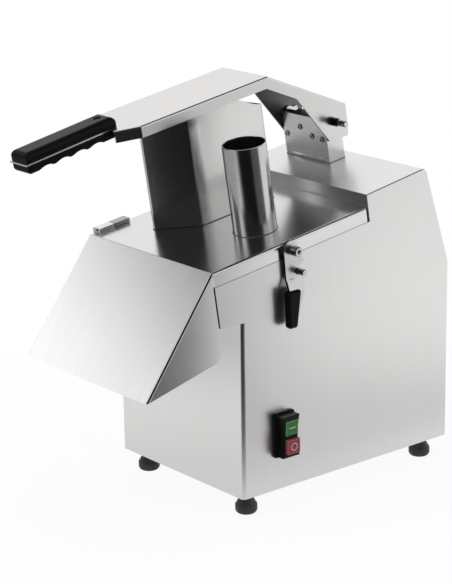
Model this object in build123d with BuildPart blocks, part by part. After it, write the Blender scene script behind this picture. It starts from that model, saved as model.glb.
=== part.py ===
from build123d import *
import os
from math import atan2, cos, degrees, radians, sin, sqrt, tan

# Vegetable cutting machine: a stainless housing with a tilted cutting deck, a half-moon
# hopper with a lever arm and pusher, a round feed tube and a belt-driven disc.
# Millimetres. +Z is up and -Y is the front, where the cut food drops out. The sketches
# are centred on the housing, and every sub-part is written about the middle of the whole
# machine, on the worktop.

os.makedirs("parts", exist_ok=True)

# Housing
body_width = 240
body_depth = 340
panel = 2.0
corner_radius = 5.0
edge_radius = 2.0
foot_height = 27.5
knee_height = 238.0
column_length = 102.0
column_slope = 10.0
column_step = 16.0
column_corner = 8.0
base_lip = 42.0
seam_gap = 0.6

# Tilted deck that carries the lid, the hopper, the tube and the disc
deck_tilt = 8.5
deck_overhang = 41.7
deck_height = 290.6
lid_length = 246.0
lid_skirt = 18.0
lid_bend = 3.0
chamber_depth = 70.0

# Discharge hood
hood_reach = 99.0
hood_drop = 136.0
hood_heel = 32.2
hood_low = 182.4
hood_corner = 8.0
hood_flange = 14.0
hood_gap = 0.6
cheek_gap = 2.2

# Half-moon hopper, seen from above the deck
hopper_radius = 90.0
hopper_side = 14.0
hopper_oblique = 58.0
hopper_front = 27.3
hopper_wall = 1.5
hopper_height = 138.6
hopper_bend = 3.0
rim_dip = 16.5
rim_dip_length = 46.0

# Round feed tube
tube_radius = 26.75
tube_wall = 1.5
tube_height = 109.6
tube_side = 53.9

# Cutting disc, ejector and bowl
disc_radius = 102.5
disc_back = 121.3
disc_thickness = 3.0
disc_depth = 14.0
disc_hub_radius = 18.0
blade_lift = 2.0
blade_heel = 10.0
blade_tip = 9.0
blade_screw_pitch = 25.0
blade_screw_start = 8.0
blade_screw_ahead = 4.0
ejector_radius = 98.0
ejector_thickness = 3.0
vane_height = 22.0
vane_curve = 90.0
bowl_clearance = 3.5
bowl_floor = 5.0
boss_radius = 24.0
boss_height = 6.0

# Drive
shaft_radius = 10.0
bearing_outer = 23.5
bearing_width = 14.0
bearing_spacing = 23.0
housing_wall = 6.0
flange_radius = 44.0
flange_thickness = 7.0
running_gap = 0.05
belt_width = 10.0
belt_thickness = 6.0
belt_gap = 0.4
big_pulley_radius = 80.0
small_pulley_radius = 20.0
pulley_wall = 4.0
motor_back = 266.0
motor_radius = 62.0
motor_length = 150.0
motor_end_radius = 58.0
motor_end_length = 22.0
motor_bevel = 5.0
motor_boss_radius = 13.0
motor_shaft_radius = 7.0
motor_shaft_inside = 28.0
motor_bracket_length = 140.0
motor_bracket_sheet = 4.0
motor_bracket_drop = 30.0
pulley_rim = 6.0
pulley_hub_radius = 18.0
pulley_hole_radius = 13.0
pulley_hole_circle = 46.0
pulley_hole_count = 5
bowl_bolt_radius = 3.0
bowl_bolt_head = 5.5
bowl_bolt_head_height = 4.0
bowl_bolt_spacing = 30.0
capacitor_radius = 18.0
capacitor_height = 75.0
capacitor_bevel = 2.0
capacitor_inset = 60.0
capacitor_ahead = 100.0
lid_switch_width = 24.0
lid_switch_depth = 8.0
lid_switch_height = 18.0
lid_switch_low = 42.0
lid_switch_side = 70.0

# Lever arm with its pusher
arm_side = 46.0
arm_width = 88.0
arm_sheet = 2.0
arm_bend = 2.5
pivot_set = 12.0
pivot_rise = 52.9
pivot_radius = 4.0
ridge_ahead = 108.1
ridge_above = 71.4
front_slope = 9.73
rear_slope = 21.5
front_length = 197.6
rear_length = 138.3
flange_depth = 14.5
nose_length = 27.5
nose_width = 57.0
cheek_ahead = 52.3
cheek_rear = 25.4
cheek_heel = 10.0
cheek_low = 26.5
cheek_rise = 5.5
cheek_front = 4.0
cheek_corner = 7.0

# Handle
grip_length = 131.0
grip_lap = 12.4
grip_width = 34.0
grip_top = 12.5
grip_bottom = 11.5
grip_round = 7.0
grip_corner = 3.0
grip_dish_radius = 5.0
grip_dish_depth = 1.2
grip_dish_back = 15.0
handle_slope = 11.7
scallop_count = 4
scallop_depth = 4.2
scallop_pitch = 24.3
scallop_start = 33.0
tang_thickness = 2.0
tang_proud = 2.0
grip_screw_seat = 4.5
grip_screw_inset = 28.0

# Pusher
pusher_thickness = 6.0
pusher_lift = 9.0
pusher_side_gap = 4.0
pusher_front_gap = 18.0
stem_width = 26.0
stem_depth = 30.0
stem_sheet = 3.0
stem_back = 138.0

# Arm bracket on the column
bracket_back = 54.4
bracket_play = 0.8
bracket_depth = 26.0
bracket_height = 57.6
bracket_sheet = 2.0
bracket_bend = 2.5
ear_radius = 8.0
slot_height = 3.0
slot_margin = 10.0
block_width = 52.0
block_depth = 17.0
block_lift = 8.0
left_screw_inset = 6.3
left_screw_rise = 28.6
right_screw_inset = 9.4
right_screw_rise = 30.7
high_screw = (-8.0, 41.6)
middle_screw = (13.1, 32.4)
pin_stick_out = 24.0
pin_collar = 5.5
pin_collar_length = 7.0
pin_head = 6.5
pin_head_length = 3.6
pin_groove_back = 6.0
pin_groove_width = 1.4
pin_groove_depth = 0.8

# Latch on the right side
latch_back = 114.3
lever_path_start = 60.0
latch_depth = 9.0
latch_bolt_radius = 4.0
latch_head_radius = 6.0
latch_head_length = 14.0
latch_washer = 2.0
latch_plate = 3.5
latch_crank = 7.0
latch_crank_top = 36.0
latch_crank_low = 52.0
hook_reach = 20.5
latch_boss = 11.0
latch_reach = 92.0
latch_grip_length = 46.0
latch_grip_width = 17.0
latch_grip_depth = 11.0
stud_back = 120.9
stud_depth = 38.0
stud_radius = 4.0
stud_length = 18.0
hook_play = 0.6

# Switch on the right side
switch_back = 62.5
switch_height = 70.5
switch_flange_width = 33.0
switch_flange_height = 57.0
switch_flange = 3.0
switch_width = 26.0
switch_waist = 20.0
switch_tall = 52.0
switch_depth = 14.0
switch_inside = 28.0
button_width = 19.0
button_height = 18.0
button_depth = 9.0
button_gap = 0.3
button_offset = 11.5
start_proud = 1.0
stop_proud = 4.5
button_stroke = 3.0

# Feet, hinges, rear cover and gland
foot_inset = 23.3
foot_radius = 13.6
foot_neck = 8.6
foot_band = 8.0
foot_bevel = 2.5
hinge_rise = 5.5
hinge_overhang = 4.0
hinge_lap = 11.0
hinge_curl = 3.0
hinge_drop = 4.0
hinge_length = 46.0
hinge_inset = 9.0
hinge_split = 1.0
hinge_pin_radius = 1.6
hinge_pin_inset = 4.0
strap_low = 45.0
strap_thickness = 3.0
cover_width = 180.0
cover_height = 150.0
cover_low = 52.0
cover_lip = 15.0
cover_corner = 6.0
cover_screw_inset = 7.0
louvre_count = 6
louvre_pitch = 14.0
louvre_length = 70.0
louvre_space = 12.0
louvre_slot = 4.0
louvre_depth = 3.0
gland_radius = 10.0
gland_flange = 14.0
gland_hex = 12.0
gland_nose = 7.0
gland_bore = 4.0
gland_inside = 16.0
gland_outside = 21.0
screw_radius = 2.0
screw_head = 4.0
screw_head_height = 2.0
screw_length = 9.0
base_seam = 10.0
base_screw_inset = 5.0
base_screw_pitch = 110.0
vent_count = 5
vent_pitch = 24.0
vent_length = 50.0
vent_width = 6.0
vent_back = 60.0

# Places worked out from the sizes
front_y = -body_depth / 2
rear_y = body_depth / 2
half_width = body_width / 2
inner_width = body_width - 2 * panel
tilt = radians(deck_tilt)
deck = Plane(
    origin=(0, front_y - deck_overhang, foot_height + deck_height),
    x_dir=(1, 0, 0),
    z_dir=(0, -sin(tilt), cos(tilt)),
)


def deck_point(back, up, side=0.0):
    """A point given along the deck, out of it and across it."""
    return deck.from_local_coords(Vector(side, back, up))


def on_deck(back, up):
    """The (y, z) place of a point of the deck, for sketches in the side view."""
    point = deck_point(back, up)
    return (point.Y, point.Z)


def write(sub_part, name):
    placed = sub_part.part.moved(Location((-middle_side, -middle_back, 0)))
    placed.label = name
    export_step(placed, f"parts/{name}.step")


def moved(start, angle, distance):
    """A (y, z) point at an angle above the horizontal and a distance from a start."""
    turn = radians(angle)
    return (start[0] + distance * cos(turn), start[1] + distance * sin(turn))


# Side view of the housing
column_face = lid_length + seam_gap
column_foot = on_deck(column_face, -lid_skirt - seam_gap)
column_front = on_deck(column_face, column_step)
column_back = (
    column_front[0] + column_length * cos(radians(column_slope)),
    column_front[1] + column_length * sin(radians(column_slope)),
)
chamber_top = on_deck(0, -lid_skirt - seam_gap)
chamber_low = on_deck(0, -chamber_depth)
side_view = [
    (front_y, foot_height),
    (rear_y, foot_height),
    (rear_y, foot_height + knee_height),
    column_back,
    column_front,
    column_foot,
    chamber_top,
    chamber_low,
    (front_y, chamber_low[1]),
]
column_top = Plane(
    origin=(0, column_front[0], column_front[1]),
    x_dir=(1, 0, 0),
    z_dir=(0, -sin(radians(column_slope)), cos(radians(column_slope))),
)
right_wall = Plane(origin=(half_width, 0, 0), x_dir=(0, 1, 0), z_dir=(1, 0, 0))
rear_wall = Plane(origin=(0, rear_y, 0), x_dir=(-1, 0, 0), z_dir=(0, 1, 0))
floor_inside = Plane.XY.offset(foot_height + panel)
bowl_under = panel - chamber_depth
support_width = 14.0
screw_hole = screw_radius + 0.1
cover_screws = [
    (side * (cover_width / 2 - cover_screw_inset), foot_height + cover_low + z)
    for side in (-1, 1)
    for z in (cover_screw_inset, cover_height - cover_screw_inset)
]
base_side = half_width - base_lip + base_seam
base_end = body_depth / 2 - base_lip + base_seam
base_screws_at = [
    (side * (base_side - base_screw_inset), end * base_screw_pitch)
    for side in (-1, 1)
    for end in (-1, 0, 1)
]
gland_place = (-half_width + base_lip, foot_height + base_lip / 2 + gland_radius / 2)
switch_place = (front_y + switch_back, foot_height + switch_height)
stud_place = on_deck(stud_back, -stud_depth)
latch_place = on_deck(latch_back, -latch_depth)
bracket_side = arm_width / 2 - arm_sheet - bracket_play
bracket_screws_at = [
    (left_screw_inset - bracket_side, left_screw_rise),
    high_screw,
    middle_screw,
    (bracket_side - right_screw_inset, right_screw_rise),
]
blade_slot_start = disc_hub_radius + 8
blade_screws_at = [
    (blade_slot_start + blade_screw_start + k * blade_screw_pitch, disc_back - blade_screw_ahead)
    for k in range(3)
]
capacitor_side = half_width - capacitor_inset

# Lever arm's places in the side view, from the pivot to the end of the tang
pivot_point = column_top.from_local_coords(Vector(0, bracket_back + pivot_set, pivot_rise))
pivot = (pivot_point.Y, pivot_point.Z)
ridge = (pivot[0] - ridge_ahead, pivot[1] + ridge_above)
nose_start = moved(ridge, 180 + front_slope, front_length)
tang_root = moved(nose_start, 180 + front_slope, nose_length - 1)
tang_end = moved(tang_root, 180 + handle_slope, grip_length - grip_lap + tang_proud)

# Middle of the whole machine, seen from the middle of the housing
middle_side = (switch_flange + switch_depth + stop_proud - hinge_overhang) / 2
middle_back = (rear_y + gland_outside + tang_end[0]) / 2

# Housing: one bent and welded shell of front, sides, column and back
with BuildPart() as body_shell:
    with BuildSketch(Plane.YZ) as outer_view:
        with BuildLine():
            Polyline(*side_view, close=True)
        make_face()
        fillet(outer_view.vertices().sort_by_distance(Vector(*column_back))[0], column_corner)
    extrude(amount=half_width, both=True)
    front_corners = body_shell.edges().filter_by(Axis.Z).group_by(Axis.Y)[0]
    fillet(front_corners, corner_radius)
    column_sides = body_shell.faces().filter_by(Axis.X)
    side_rims = column_sides.edges().filter_by_position(Axis.Z, column_front[1] - 1, column_back[1] + 1)
    fillet(side_rims.filter_by(GeomType.LINE), edge_radius)
    with BuildSketch(Plane.YZ):
        with BuildLine():
            Polyline(*side_view, close=True)
        make_face()
        offset(amount=-panel, kind=Kind.INTERSECTION)
    extrude(amount=inner_width / 2, both=True, mode=Mode.SUBTRACT)
    # open top and front of the cutting chamber
    with BuildSketch(deck.offset(bowl_under)):
        with Locations((0, lid_length / 2 - 2 * panel)):
            Rectangle(inner_width, lid_length + 2 * panel)
    extrude(amount=chamber_depth, mode=Mode.SUBTRACT)
    # ledges welded to the side walls, under the bowl
    with BuildSketch(deck.offset(bowl_under)):
        with Locations((0, lid_length / 2)):
            Rectangle(inner_width + panel, lid_length - 12)
            Rectangle(inner_width - 2 * support_width, lid_length, mode=Mode.SUBTRACT)
    extrude(amount=-panel)
    # open underside, closed by the base plate from inside
    with BuildSketch(Plane.XY.offset(foot_height)):
        Rectangle(body_width - 2 * base_lip, body_depth - 2 * base_lip)
        with Locations(*base_screws_at):
            Circle(screw_hole)
    extrude(amount=panel, mode=Mode.SUBTRACT)
    # service opening in the back with its screw holes, and the gland hole
    with BuildSketch(rear_wall):
        with Locations((0, foot_height + cover_low + cover_height / 2)):
            Rectangle(cover_width - 2 * cover_lip, cover_height - 2 * cover_lip)
        with Locations(*cover_screws):
            Circle(screw_hole)
        with Locations(gland_place):
            Circle(gland_radius)
    extrude(amount=-2 * panel, mode=Mode.SUBTRACT)
    # cut-out for the switch and hole for the latch stud
    with BuildSketch(right_wall):
        with Locations(switch_place):
            Rectangle(switch_width + 1, switch_tall + 1)
        with Locations(stud_place):
            Circle(stud_radius + 0.05)
    extrude(amount=-2 * panel, mode=Mode.SUBTRACT)
write(body_shell, "body_shell")

with BuildPart() as base_plate:
    with BuildSketch(floor_inside):
        Rectangle(2 * base_side, 2 * base_end)
        with Locations(*base_screws_at):
            Circle(screw_hole, mode=Mode.SUBTRACT)
        with Locations((0, vent_back)):
            with GridLocations(vent_pitch, 0, vent_count, 1):
                Rectangle(vent_width, vent_length, mode=Mode.SUBTRACT)
    extrude(amount=panel)
write(base_plate, "base_plate")

with BuildPart() as base_screws:
    with BuildSketch(Plane.XY.offset(foot_height)):
        with Locations(*base_screws_at):
            Circle(screw_head)
    extrude(amount=-screw_head_height)
    with BuildSketch(Plane.XY.offset(foot_height)):
        with Locations(*base_screws_at):
            Circle(screw_radius)
    extrude(amount=screw_length)
write(base_screws, "base_screws")

# Rubber feet, each moulded on a stud through the bottom lip
foot_places = {
    "front_left": (-half_width + foot_inset, front_y + foot_inset),
    "front_right": (half_width - foot_inset, front_y + foot_inset),
    "rear_left": (-half_width + foot_inset, rear_y - foot_inset),
    "rear_right": (half_width - foot_inset, rear_y - foot_inset),
}
for foot_name, (foot_x, foot_y) in foot_places.items():
    foot_section = Plane(origin=(foot_x, foot_y, 0), x_dir=(1, 0, 0), z_dir=(0, -1, 0))
    with BuildPart() as foot:
        with BuildSketch(foot_section):
            with BuildLine():
                Polyline(
                    (0, 0),
                    (foot_radius - foot_bevel, 0),
                    (foot_radius, foot_bevel + 1),
                    (foot_radius, foot_bevel + foot_band),
                    (foot_neck, foot_height - foot_band),
                    (foot_neck, foot_height),
                    (0, foot_height),
                    close=True,
                )
            make_face()
        revolve(axis=Axis((foot_x, foot_y, 0), (0, 0, 1)))
    write(foot, f"foot_{foot_name}")

# Rear cover with pressed louvres
with BuildPart() as rear_cover:
    with BuildSketch(rear_wall):
        with Locations((0, foot_height + cover_low + cover_height / 2)):
            RectangleRounded(cover_width, cover_height, cover_corner)
            with GridLocations(louvre_length + louvre_space, louvre_pitch, 2, louvre_count):
                Rectangle(louvre_length, louvre_slot, mode=Mode.SUBTRACT)
        with Locations(*cover_screws):
            Circle(screw_hole, mode=Mode.SUBTRACT)
    extrude(amount=panel)
    with BuildSketch(rear_wall.offset(panel)):
        with Locations((0, foot_height + cover_low + cover_height / 2 + louvre_slot)):
            with GridLocations(louvre_length + louvre_space, louvre_pitch, 2, louvre_count):
                Rectangle(louvre_length, louvre_slot)
    extrude(amount=louvre_depth, taper=25)
write(rear_cover, "rear_cover")

with BuildPart() as cover_screw_set:
    with BuildSketch(rear_wall.offset(panel)):
        with Locations(*cover_screws):
            Circle(screw_head)
    extrude(amount=screw_head_height, taper=20)
    with BuildSketch(rear_wall.offset(panel)):
        with Locations(*cover_screws):
            Circle(screw_radius)
    extrude(amount=-screw_length)
write(cover_screw_set, "rear_cover_screws")

gland_axis = Axis((-gland_place[0], rear_y, gland_place[1]), (0, 1, 0))
gland_section = Plane(
    origin=(-gland_place[0], rear_y, gland_place[1]),
    x_dir=(1, 0, 0),
    z_dir=(0, 0, 1),
)
with BuildPart() as cable_gland:
    with BuildSketch(gland_section):
        with BuildLine():
            Polyline(
                (gland_bore, -gland_inside),
                (gland_radius - 0.1, -gland_inside),
                (gland_radius - 0.1, 0),
                (gland_flange, 0),
                (gland_flange, gland_outside / 3),
                (gland_hex, gland_outside / 3),
                (gland_hex, 0.7 * gland_outside),
                (gland_nose, gland_outside),
                (gland_bore, gland_outside),
                close=True,
            )
        make_face()
    revolve(axis=gland_axis)
write(cable_gland, "cable_gland")


def hopper_outline(inset):
    """The half-moon outline of the hopper on the deck, moved inwards by an inset."""
    reach = sqrt(hopper_radius**2 - hopper_side**2)
    oblique_reach = sqrt(hopper_radius**2 - hopper_oblique**2)
    rear = (-hopper_side, disc_back + reach)
    front = (-hopper_side, disc_back - hopper_front)
    oblique = (-hopper_oblique, disc_back - oblique_reach)
    with BuildSketch(mode=Mode.PRIVATE) as outline:
        with BuildLine():
            Polyline(rear, front, oblique)
            ThreePointArc(oblique, (-hopper_radius, disc_back), rear)
        make_face()
        if inset > 0:
            offset(amount=-inset, kind=Kind.INTERSECTION)
        fillet(outline.vertices(), max(hopper_bend - inset, 1.0))
    return outline.sketch


# Lid of the cutting chamber
with BuildPart() as lid:
    with BuildSketch(deck):
        with Locations((0, lid_length / 2)):
            Rectangle(body_width, lid_length)
    extrude(amount=-lid_skirt)
    rear_face = lid.faces().sort_by_distance(deck_point(lid_length + lid_skirt, -lid_skirt / 2))[0]
    rear_uprights = rear_face.edges().filter_by(lambda edge: abs((edge % 0.5).X) < 0.1)
    fillet(rear_uprights, corner_radius)
    lid_top = lid.faces().sort_by_distance(deck_point(lid_length / 2, lid_skirt))[0]
    top_rims = lid_top.edges().filter_by(lambda edge: (edge @ 0.5 - deck_point(0, 0)).length > 3)
    fillet(top_rims, lid_bend)
    with BuildSketch(deck.offset(-panel)):
        with Locations((0, (lid_length - panel) / 2 - 5)):
            Rectangle(inner_width, lid_length - panel + 10)
    extrude(amount=-lid_skirt, mode=Mode.SUBTRACT)
    with BuildSketch(deck):
        add(hopper_outline(hopper_wall))
        with Locations((tube_side, disc_back)):
            Circle(tube_radius - tube_wall)
    extrude(amount=-2 * panel, mode=Mode.SUBTRACT)
    with BuildSketch(right_wall):
        with Locations(latch_place):
            Circle(latch_bolt_radius + 0.05)
    extrude(amount=-2 * panel, mode=Mode.SUBTRACT)
write(lid, "lid")

# Hood that leads the cut food down in front of the housing
hood_top = on_deck(-hood_gap, 0)
hood_tip = (hood_top[0] - hood_reach, hood_top[1] - hood_drop)
hood_back = (front_y - hood_heel, foot_height + hood_low)
hood_seat = on_deck(-cheek_gap, -chamber_depth - 6)
hood_shoulder = on_deck(-cheek_gap, -lid_skirt)
hood_angle = atan2(hood_drop, hood_reach)
hood_inset = (panel * sin(hood_angle), -panel * cos(hood_angle))
with BuildPart() as hood:
    with BuildSketch(Plane.YZ) as cheek_view:
        with BuildLine():
            Polyline(hood_top, hood_tip, hood_back, hood_seat, hood_shoulder, close=True)
        make_face()
        fillet(cheek_view.vertices().sort_by_distance(Vector(*hood_back))[0], hood_corner)
    extrude(amount=half_width, both=True)
    slope_face = hood.faces().sort_by_distance(Vector(0, hood_tip[0] - hood_reach, hood_top[1]))[0]
    fold_edges = slope_face.edges().filter_by(lambda edge: abs((edge % 0.5).X) < 0.1)
    fillet(fold_edges, lid_bend)
    with BuildSketch(Plane.YZ):
        with BuildLine():
            inner_top = (hood_top[0] + hood_inset[0], hood_top[1] + hood_inset[1])
            Polyline(
                (inner_top[0] + hood_reach, inner_top[1] + hood_drop),
                (inner_top[0] - 2 * hood_reach, inner_top[1] - 2 * hood_drop),
                (front_y + hood_reach, inner_top[1] - 2 * hood_drop),
                (front_y + hood_reach, inner_top[1] + hood_drop),
                close=True,
            )
        make_face()
    extrude(amount=inner_width / 2, both=True, mode=Mode.SUBTRACT)
    # flange under the front edge of the lid
    with BuildSketch(deck.offset(-panel - 0.4)):
        with Locations((0, hood_flange / 2 - hood_gap)):
            Rectangle(2 * disc_radius, hood_flange + 2 * hood_gap + 2)
    extrude(amount=-panel)
write(hood, "hood")

# Half-moon hopper: a welded wall whose rim dips in a smooth curve towards the back
with BuildPart() as hopper:
    with BuildSketch(deck):
        add(hopper_outline(0))
        add(hopper_outline(hopper_wall), mode=Mode.SUBTRACT)
    extrude(amount=hopper_height)
    dip_start = disc_back + hopper_radius - rim_dip_length
    deck_ahead = Vector(0, cos(tilt), sin(tilt))
    with BuildSketch(Plane.YZ):
        with BuildLine():
            high = on_deck(dip_start, hopper_height)
            middle = on_deck(dip_start + 0.52 * rim_dip_length, hopper_height - 0.54 * rim_dip)
            low = on_deck(dip_start + rim_dip_length, hopper_height - rim_dip)
            along = (cos(tilt), sin(tilt))
            Spline(high, middle, low, tangents=(along, along))
            Polyline(
                low,
                on_deck(dip_start + 2 * rim_dip_length, hopper_height - rim_dip),
                on_deck(dip_start + 2 * rim_dip_length, hopper_height + rim_dip),
                on_deck(dip_start, hopper_height + rim_dip),
                high,
            )
        make_face()
    extrude(amount=half_width, both=True, mode=Mode.SUBTRACT)
write(hopper, "hopper")

with BuildPart() as feed_tube:
    with BuildSketch(deck):
        with Locations((tube_side, disc_back)):
            Circle(tube_radius)
            Circle(tube_radius - tube_wall, mode=Mode.SUBTRACT)
    extrude(amount=tube_height)
write(feed_tube, "feed_tube")

# Cast bowl that holds the disc and opens into the hood
bowl_top = -panel - 0.5
bowl_inner = disc_radius + bowl_clearance
bowl_base = bowl_under + bowl_floor
bowl_bolts_at = [
    (side * bowl_bolt_spacing, disc_back + end * bowl_bolt_spacing)
    for side in (-1, 1)
    for end in (-1, 1)
]
with BuildPart() as bowl:
    with BuildSketch(deck.offset(bowl_under)):
        with Locations((0, lid_length / 2 - 1)):
            Rectangle(inner_width - 1.2, lid_length - 5)
    extrude(amount=bowl_top - bowl_under)
    with BuildSketch(deck.offset(bowl_base)):
        with Locations((0, disc_back)):
            Circle(bowl_inner)
        with Locations((0, disc_back / 2)):
            Rectangle(2 * bowl_inner, disc_back)
    extrude(amount=chamber_depth, mode=Mode.SUBTRACT)
    with BuildSketch(deck.offset(bowl_base)):
        with Locations((0, disc_back)):
            Circle(boss_radius)
    extrude(amount=boss_height, taper=10)
    with BuildSketch(deck.offset(bowl_under)):
        with Locations((0, disc_back)):
            Circle(shaft_radius + 0.6)
        with Locations(*bowl_bolts_at):
            Circle(bowl_bolt_radius + running_gap)
    extrude(amount=chamber_depth, mode=Mode.SUBTRACT)
    # pockets in the side for the nuts of the latch
    with BuildSketch(right_wall.offset(-panel)):
        with Locations(latch_place, stud_place):
            Circle(8)
    extrude(amount=-5, mode=Mode.SUBTRACT)
write(bowl, "bowl")

# Slicing disc with its blade, the ejector under it and the shaft
disc_under = -disc_depth - disc_thickness
ejector_top = bowl_base + boss_height + 3 + ejector_thickness
blade_length = disc_radius - blade_slot_start - 8
with BuildPart() as slicing_disc:
    with BuildSketch(deck.offset(disc_under)):
        with Locations((0, disc_back)):
            Circle(disc_radius)
        with Locations((blade_slot_start + blade_length / 2, disc_back + 9)):
            RectangleRounded(blade_length, 9, 2, mode=Mode.SUBTRACT)
    extrude(amount=disc_thickness)
    with BuildSketch(deck.offset(ejector_top + vane_height + 0.5)):
        with Locations((0, disc_back)):
            Circle(disc_hub_radius)
    extrude(until=Until.NEXT)
    with BuildSketch(deck.offset(-disc_depth)):
        with Locations((0, disc_back)):
            Circle(disc_hub_radius - 2)
    extrude(amount=2.5, taper=20)
    with BuildSketch(deck):
        with Locations((0, disc_back)):
            Circle(shaft_radius)
        with Locations(*blade_screws_at):
            Circle(screw_radius)
    extrude(amount=-chamber_depth, mode=Mode.SUBTRACT)
write(slicing_disc, "slicing_disc")

blade_section = Plane(origin=deck_point(disc_back, -disc_depth), x_dir=deck.y_dir, z_dir=deck.x_dir)
with BuildPart() as disc_blade:
    with BuildSketch(blade_section.offset(blade_slot_start)):
        with BuildLine():
            Polyline(
                (-blade_heel, 0),
                (3, 0),
                (blade_tip, blade_lift),
                (blade_tip - 3, blade_lift + 0.6),
                (2, 1.6),
                (-blade_heel, 1.6),
                close=True,
            )
        make_face()
    extrude(amount=blade_length)
    with BuildSketch(deck):
        with Locations(*blade_screws_at):
            Circle(screw_radius)
    extrude(amount=-disc_depth, mode=Mode.SUBTRACT)
write(disc_blade, "disc_blade")

with BuildPart() as blade_screws:
    with BuildSketch(deck.offset(1.6 - disc_depth)):
        with Locations(*blade_screws_at):
            Circle(screw_head - 0.5)
    extrude(amount=1.2)
    with BuildSketch(deck.offset(1.6 - disc_depth)):
        with Locations(*blade_screws_at):
            Circle(screw_radius - 0.05)
    extrude(amount=-disc_thickness - 1.6)
write(blade_screws, "blade_screws")

with BuildPart() as ejector:
    with BuildSketch(deck.offset(ejector_top - ejector_thickness)):
        with Locations((0, disc_back)):
            Circle(ejector_radius)
    extrude(amount=ejector_thickness)
    with BuildSketch(deck.offset(ejector_top)):
        with Locations((0, disc_back)):
            Circle(disc_hub_radius)
            for turn in (0, 90, 180, 270):
                angle = radians(turn)
                with BuildLine():
                    start = (16 * cos(angle), disc_back + 16 * sin(angle))
                    end_angle = angle - radians(35)
                    reach = ejector_radius - 4
                    end = (reach * cos(end_angle), disc_back + reach * sin(end_angle))
                    vane = RadiusArc(start, end, vane_curve)
                    offset(vane, amount=2.5, side=Side.BOTH, closed=True)
                make_face()
    extrude(amount=vane_height)
    with BuildSketch(deck):
        with Locations((0, disc_back)):
            Circle(shaft_radius)
    extrude(amount=-chamber_depth, mode=Mode.SUBTRACT)
write(ejector, "ejector")

housing_length = bearing_width + bearing_spacing + 2
pulley_top = bowl_under - housing_length - 10
pulley_low = pulley_top - belt_width - 3
with BuildPart() as drive_shaft:
    with BuildSketch(deck.offset(pulley_low - 6)):
        with Locations((0, disc_back)):
            Circle(shaft_radius)
    extrude(amount=-disc_depth + 3 - pulley_low + 6)
    chamfer(drive_shaft.edges().filter_by(GeomType.CIRCLE), 1)
write(drive_shaft, "drive_shaft")

with BuildPart() as bearing_housing:
    with BuildSketch(deck.offset(bowl_under)):
        with Locations((0, disc_back)):
            RectangleRounded(2 * flange_radius, 2 * flange_radius, 12)
    extrude(amount=-flange_thickness)
    with BuildSketch(deck.offset(bowl_under)):
        with Locations((0, disc_back)):
            Circle(bearing_outer + housing_wall)
    extrude(amount=-housing_length)
    with BuildSketch(deck.offset(bowl_under)):
        with Locations((0, disc_back)):
            Circle(bearing_outer + 0.02)
        with Locations(*bowl_bolts_at):
            Circle(bowl_bolt_radius + running_gap)
    extrude(amount=-housing_length, mode=Mode.SUBTRACT)
write(bearing_housing, "bearing_housing")

bearing_places = {"upper": bowl_under - 1, "lower": bowl_under - housing_length + bearing_width + 1}
for bearing_name, place in bearing_places.items():
    with BuildPart() as bearing:
        with BuildSketch(deck.offset(place)):
            with Locations((0, disc_back)):
                Circle(bearing_outer)
                Circle(shaft_radius + running_gap, mode=Mode.SUBTRACT)
        extrude(amount=-bearing_width)
        with BuildSketch(deck.offset(place)):
            with Locations((0, disc_back)):
                Circle(bearing_outer - 4)
                Circle(shaft_radius + 3, mode=Mode.SUBTRACT)
        extrude(amount=-0.6, mode=Mode.SUBTRACT)
    write(bearing, f"{bearing_name}_bearing")

with BuildPart() as bowl_bolts:
    with BuildSketch(deck.offset(bowl_under - flange_thickness)):
        with Locations(*bowl_bolts_at):
            RegularPolygon(bowl_bolt_head, 6)
    extrude(amount=-bowl_bolt_head_height)
    with BuildSketch(deck.offset(bowl_under - flange_thickness)):
        with Locations(*bowl_bolts_at):
            Circle(bowl_bolt_radius)
    extrude(amount=flange_thickness + bowl_floor)
write(bowl_bolts, "bowl_bolts")

with BuildPart() as large_pulley:
    with BuildSketch(deck.offset(pulley_low)):
        with Locations((0, disc_back)):
            Circle(big_pulley_radius)
    extrude(amount=pulley_top - pulley_low)
    with BuildSketch(deck.offset(pulley_low)):
        with Locations((0, disc_back)):
            Circle(big_pulley_radius - pulley_rim)
            Circle(pulley_hub_radius, mode=Mode.SUBTRACT)
    extrude(amount=pulley_top - pulley_low - pulley_wall, mode=Mode.SUBTRACT)
    with BuildSketch(deck.offset(pulley_low)):
        with Locations((0, disc_back)):
            Circle(shaft_radius)
            with PolarLocations(pulley_hole_circle, pulley_hole_count):
                Circle(pulley_hole_radius)
    extrude(amount=pulley_top - pulley_low, mode=Mode.SUBTRACT)
write(large_pulley, "large_pulley")

with BuildPart() as motor_pulley:
    with BuildSketch(deck.offset(pulley_low)):
        with Locations((0, motor_back)):
            Circle(small_pulley_radius)
            Circle(motor_shaft_radius, mode=Mode.SUBTRACT)
    extrude(amount=pulley_top - pulley_low)
write(motor_pulley, "motor_pulley")

with BuildPart() as drive_belt:
    with BuildSketch(deck.offset(pulley_low + 1.5)):
        with Locations((0, disc_back)):
            Circle(big_pulley_radius + belt_gap + belt_thickness)
        with Locations((0, motor_back)):
            Circle(small_pulley_radius + belt_gap + belt_thickness)
        make_hull()
        with BuildSketch(mode=Mode.PRIVATE) as inside:
            with Locations((0, disc_back)):
                Circle(big_pulley_radius + belt_gap)
            with Locations((0, motor_back)):
                Circle(small_pulley_radius + belt_gap)
            make_hull()
        add(inside.sketch, mode=Mode.SUBTRACT)
    extrude(amount=belt_width)
write(drive_belt, "drive_belt")

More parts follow.
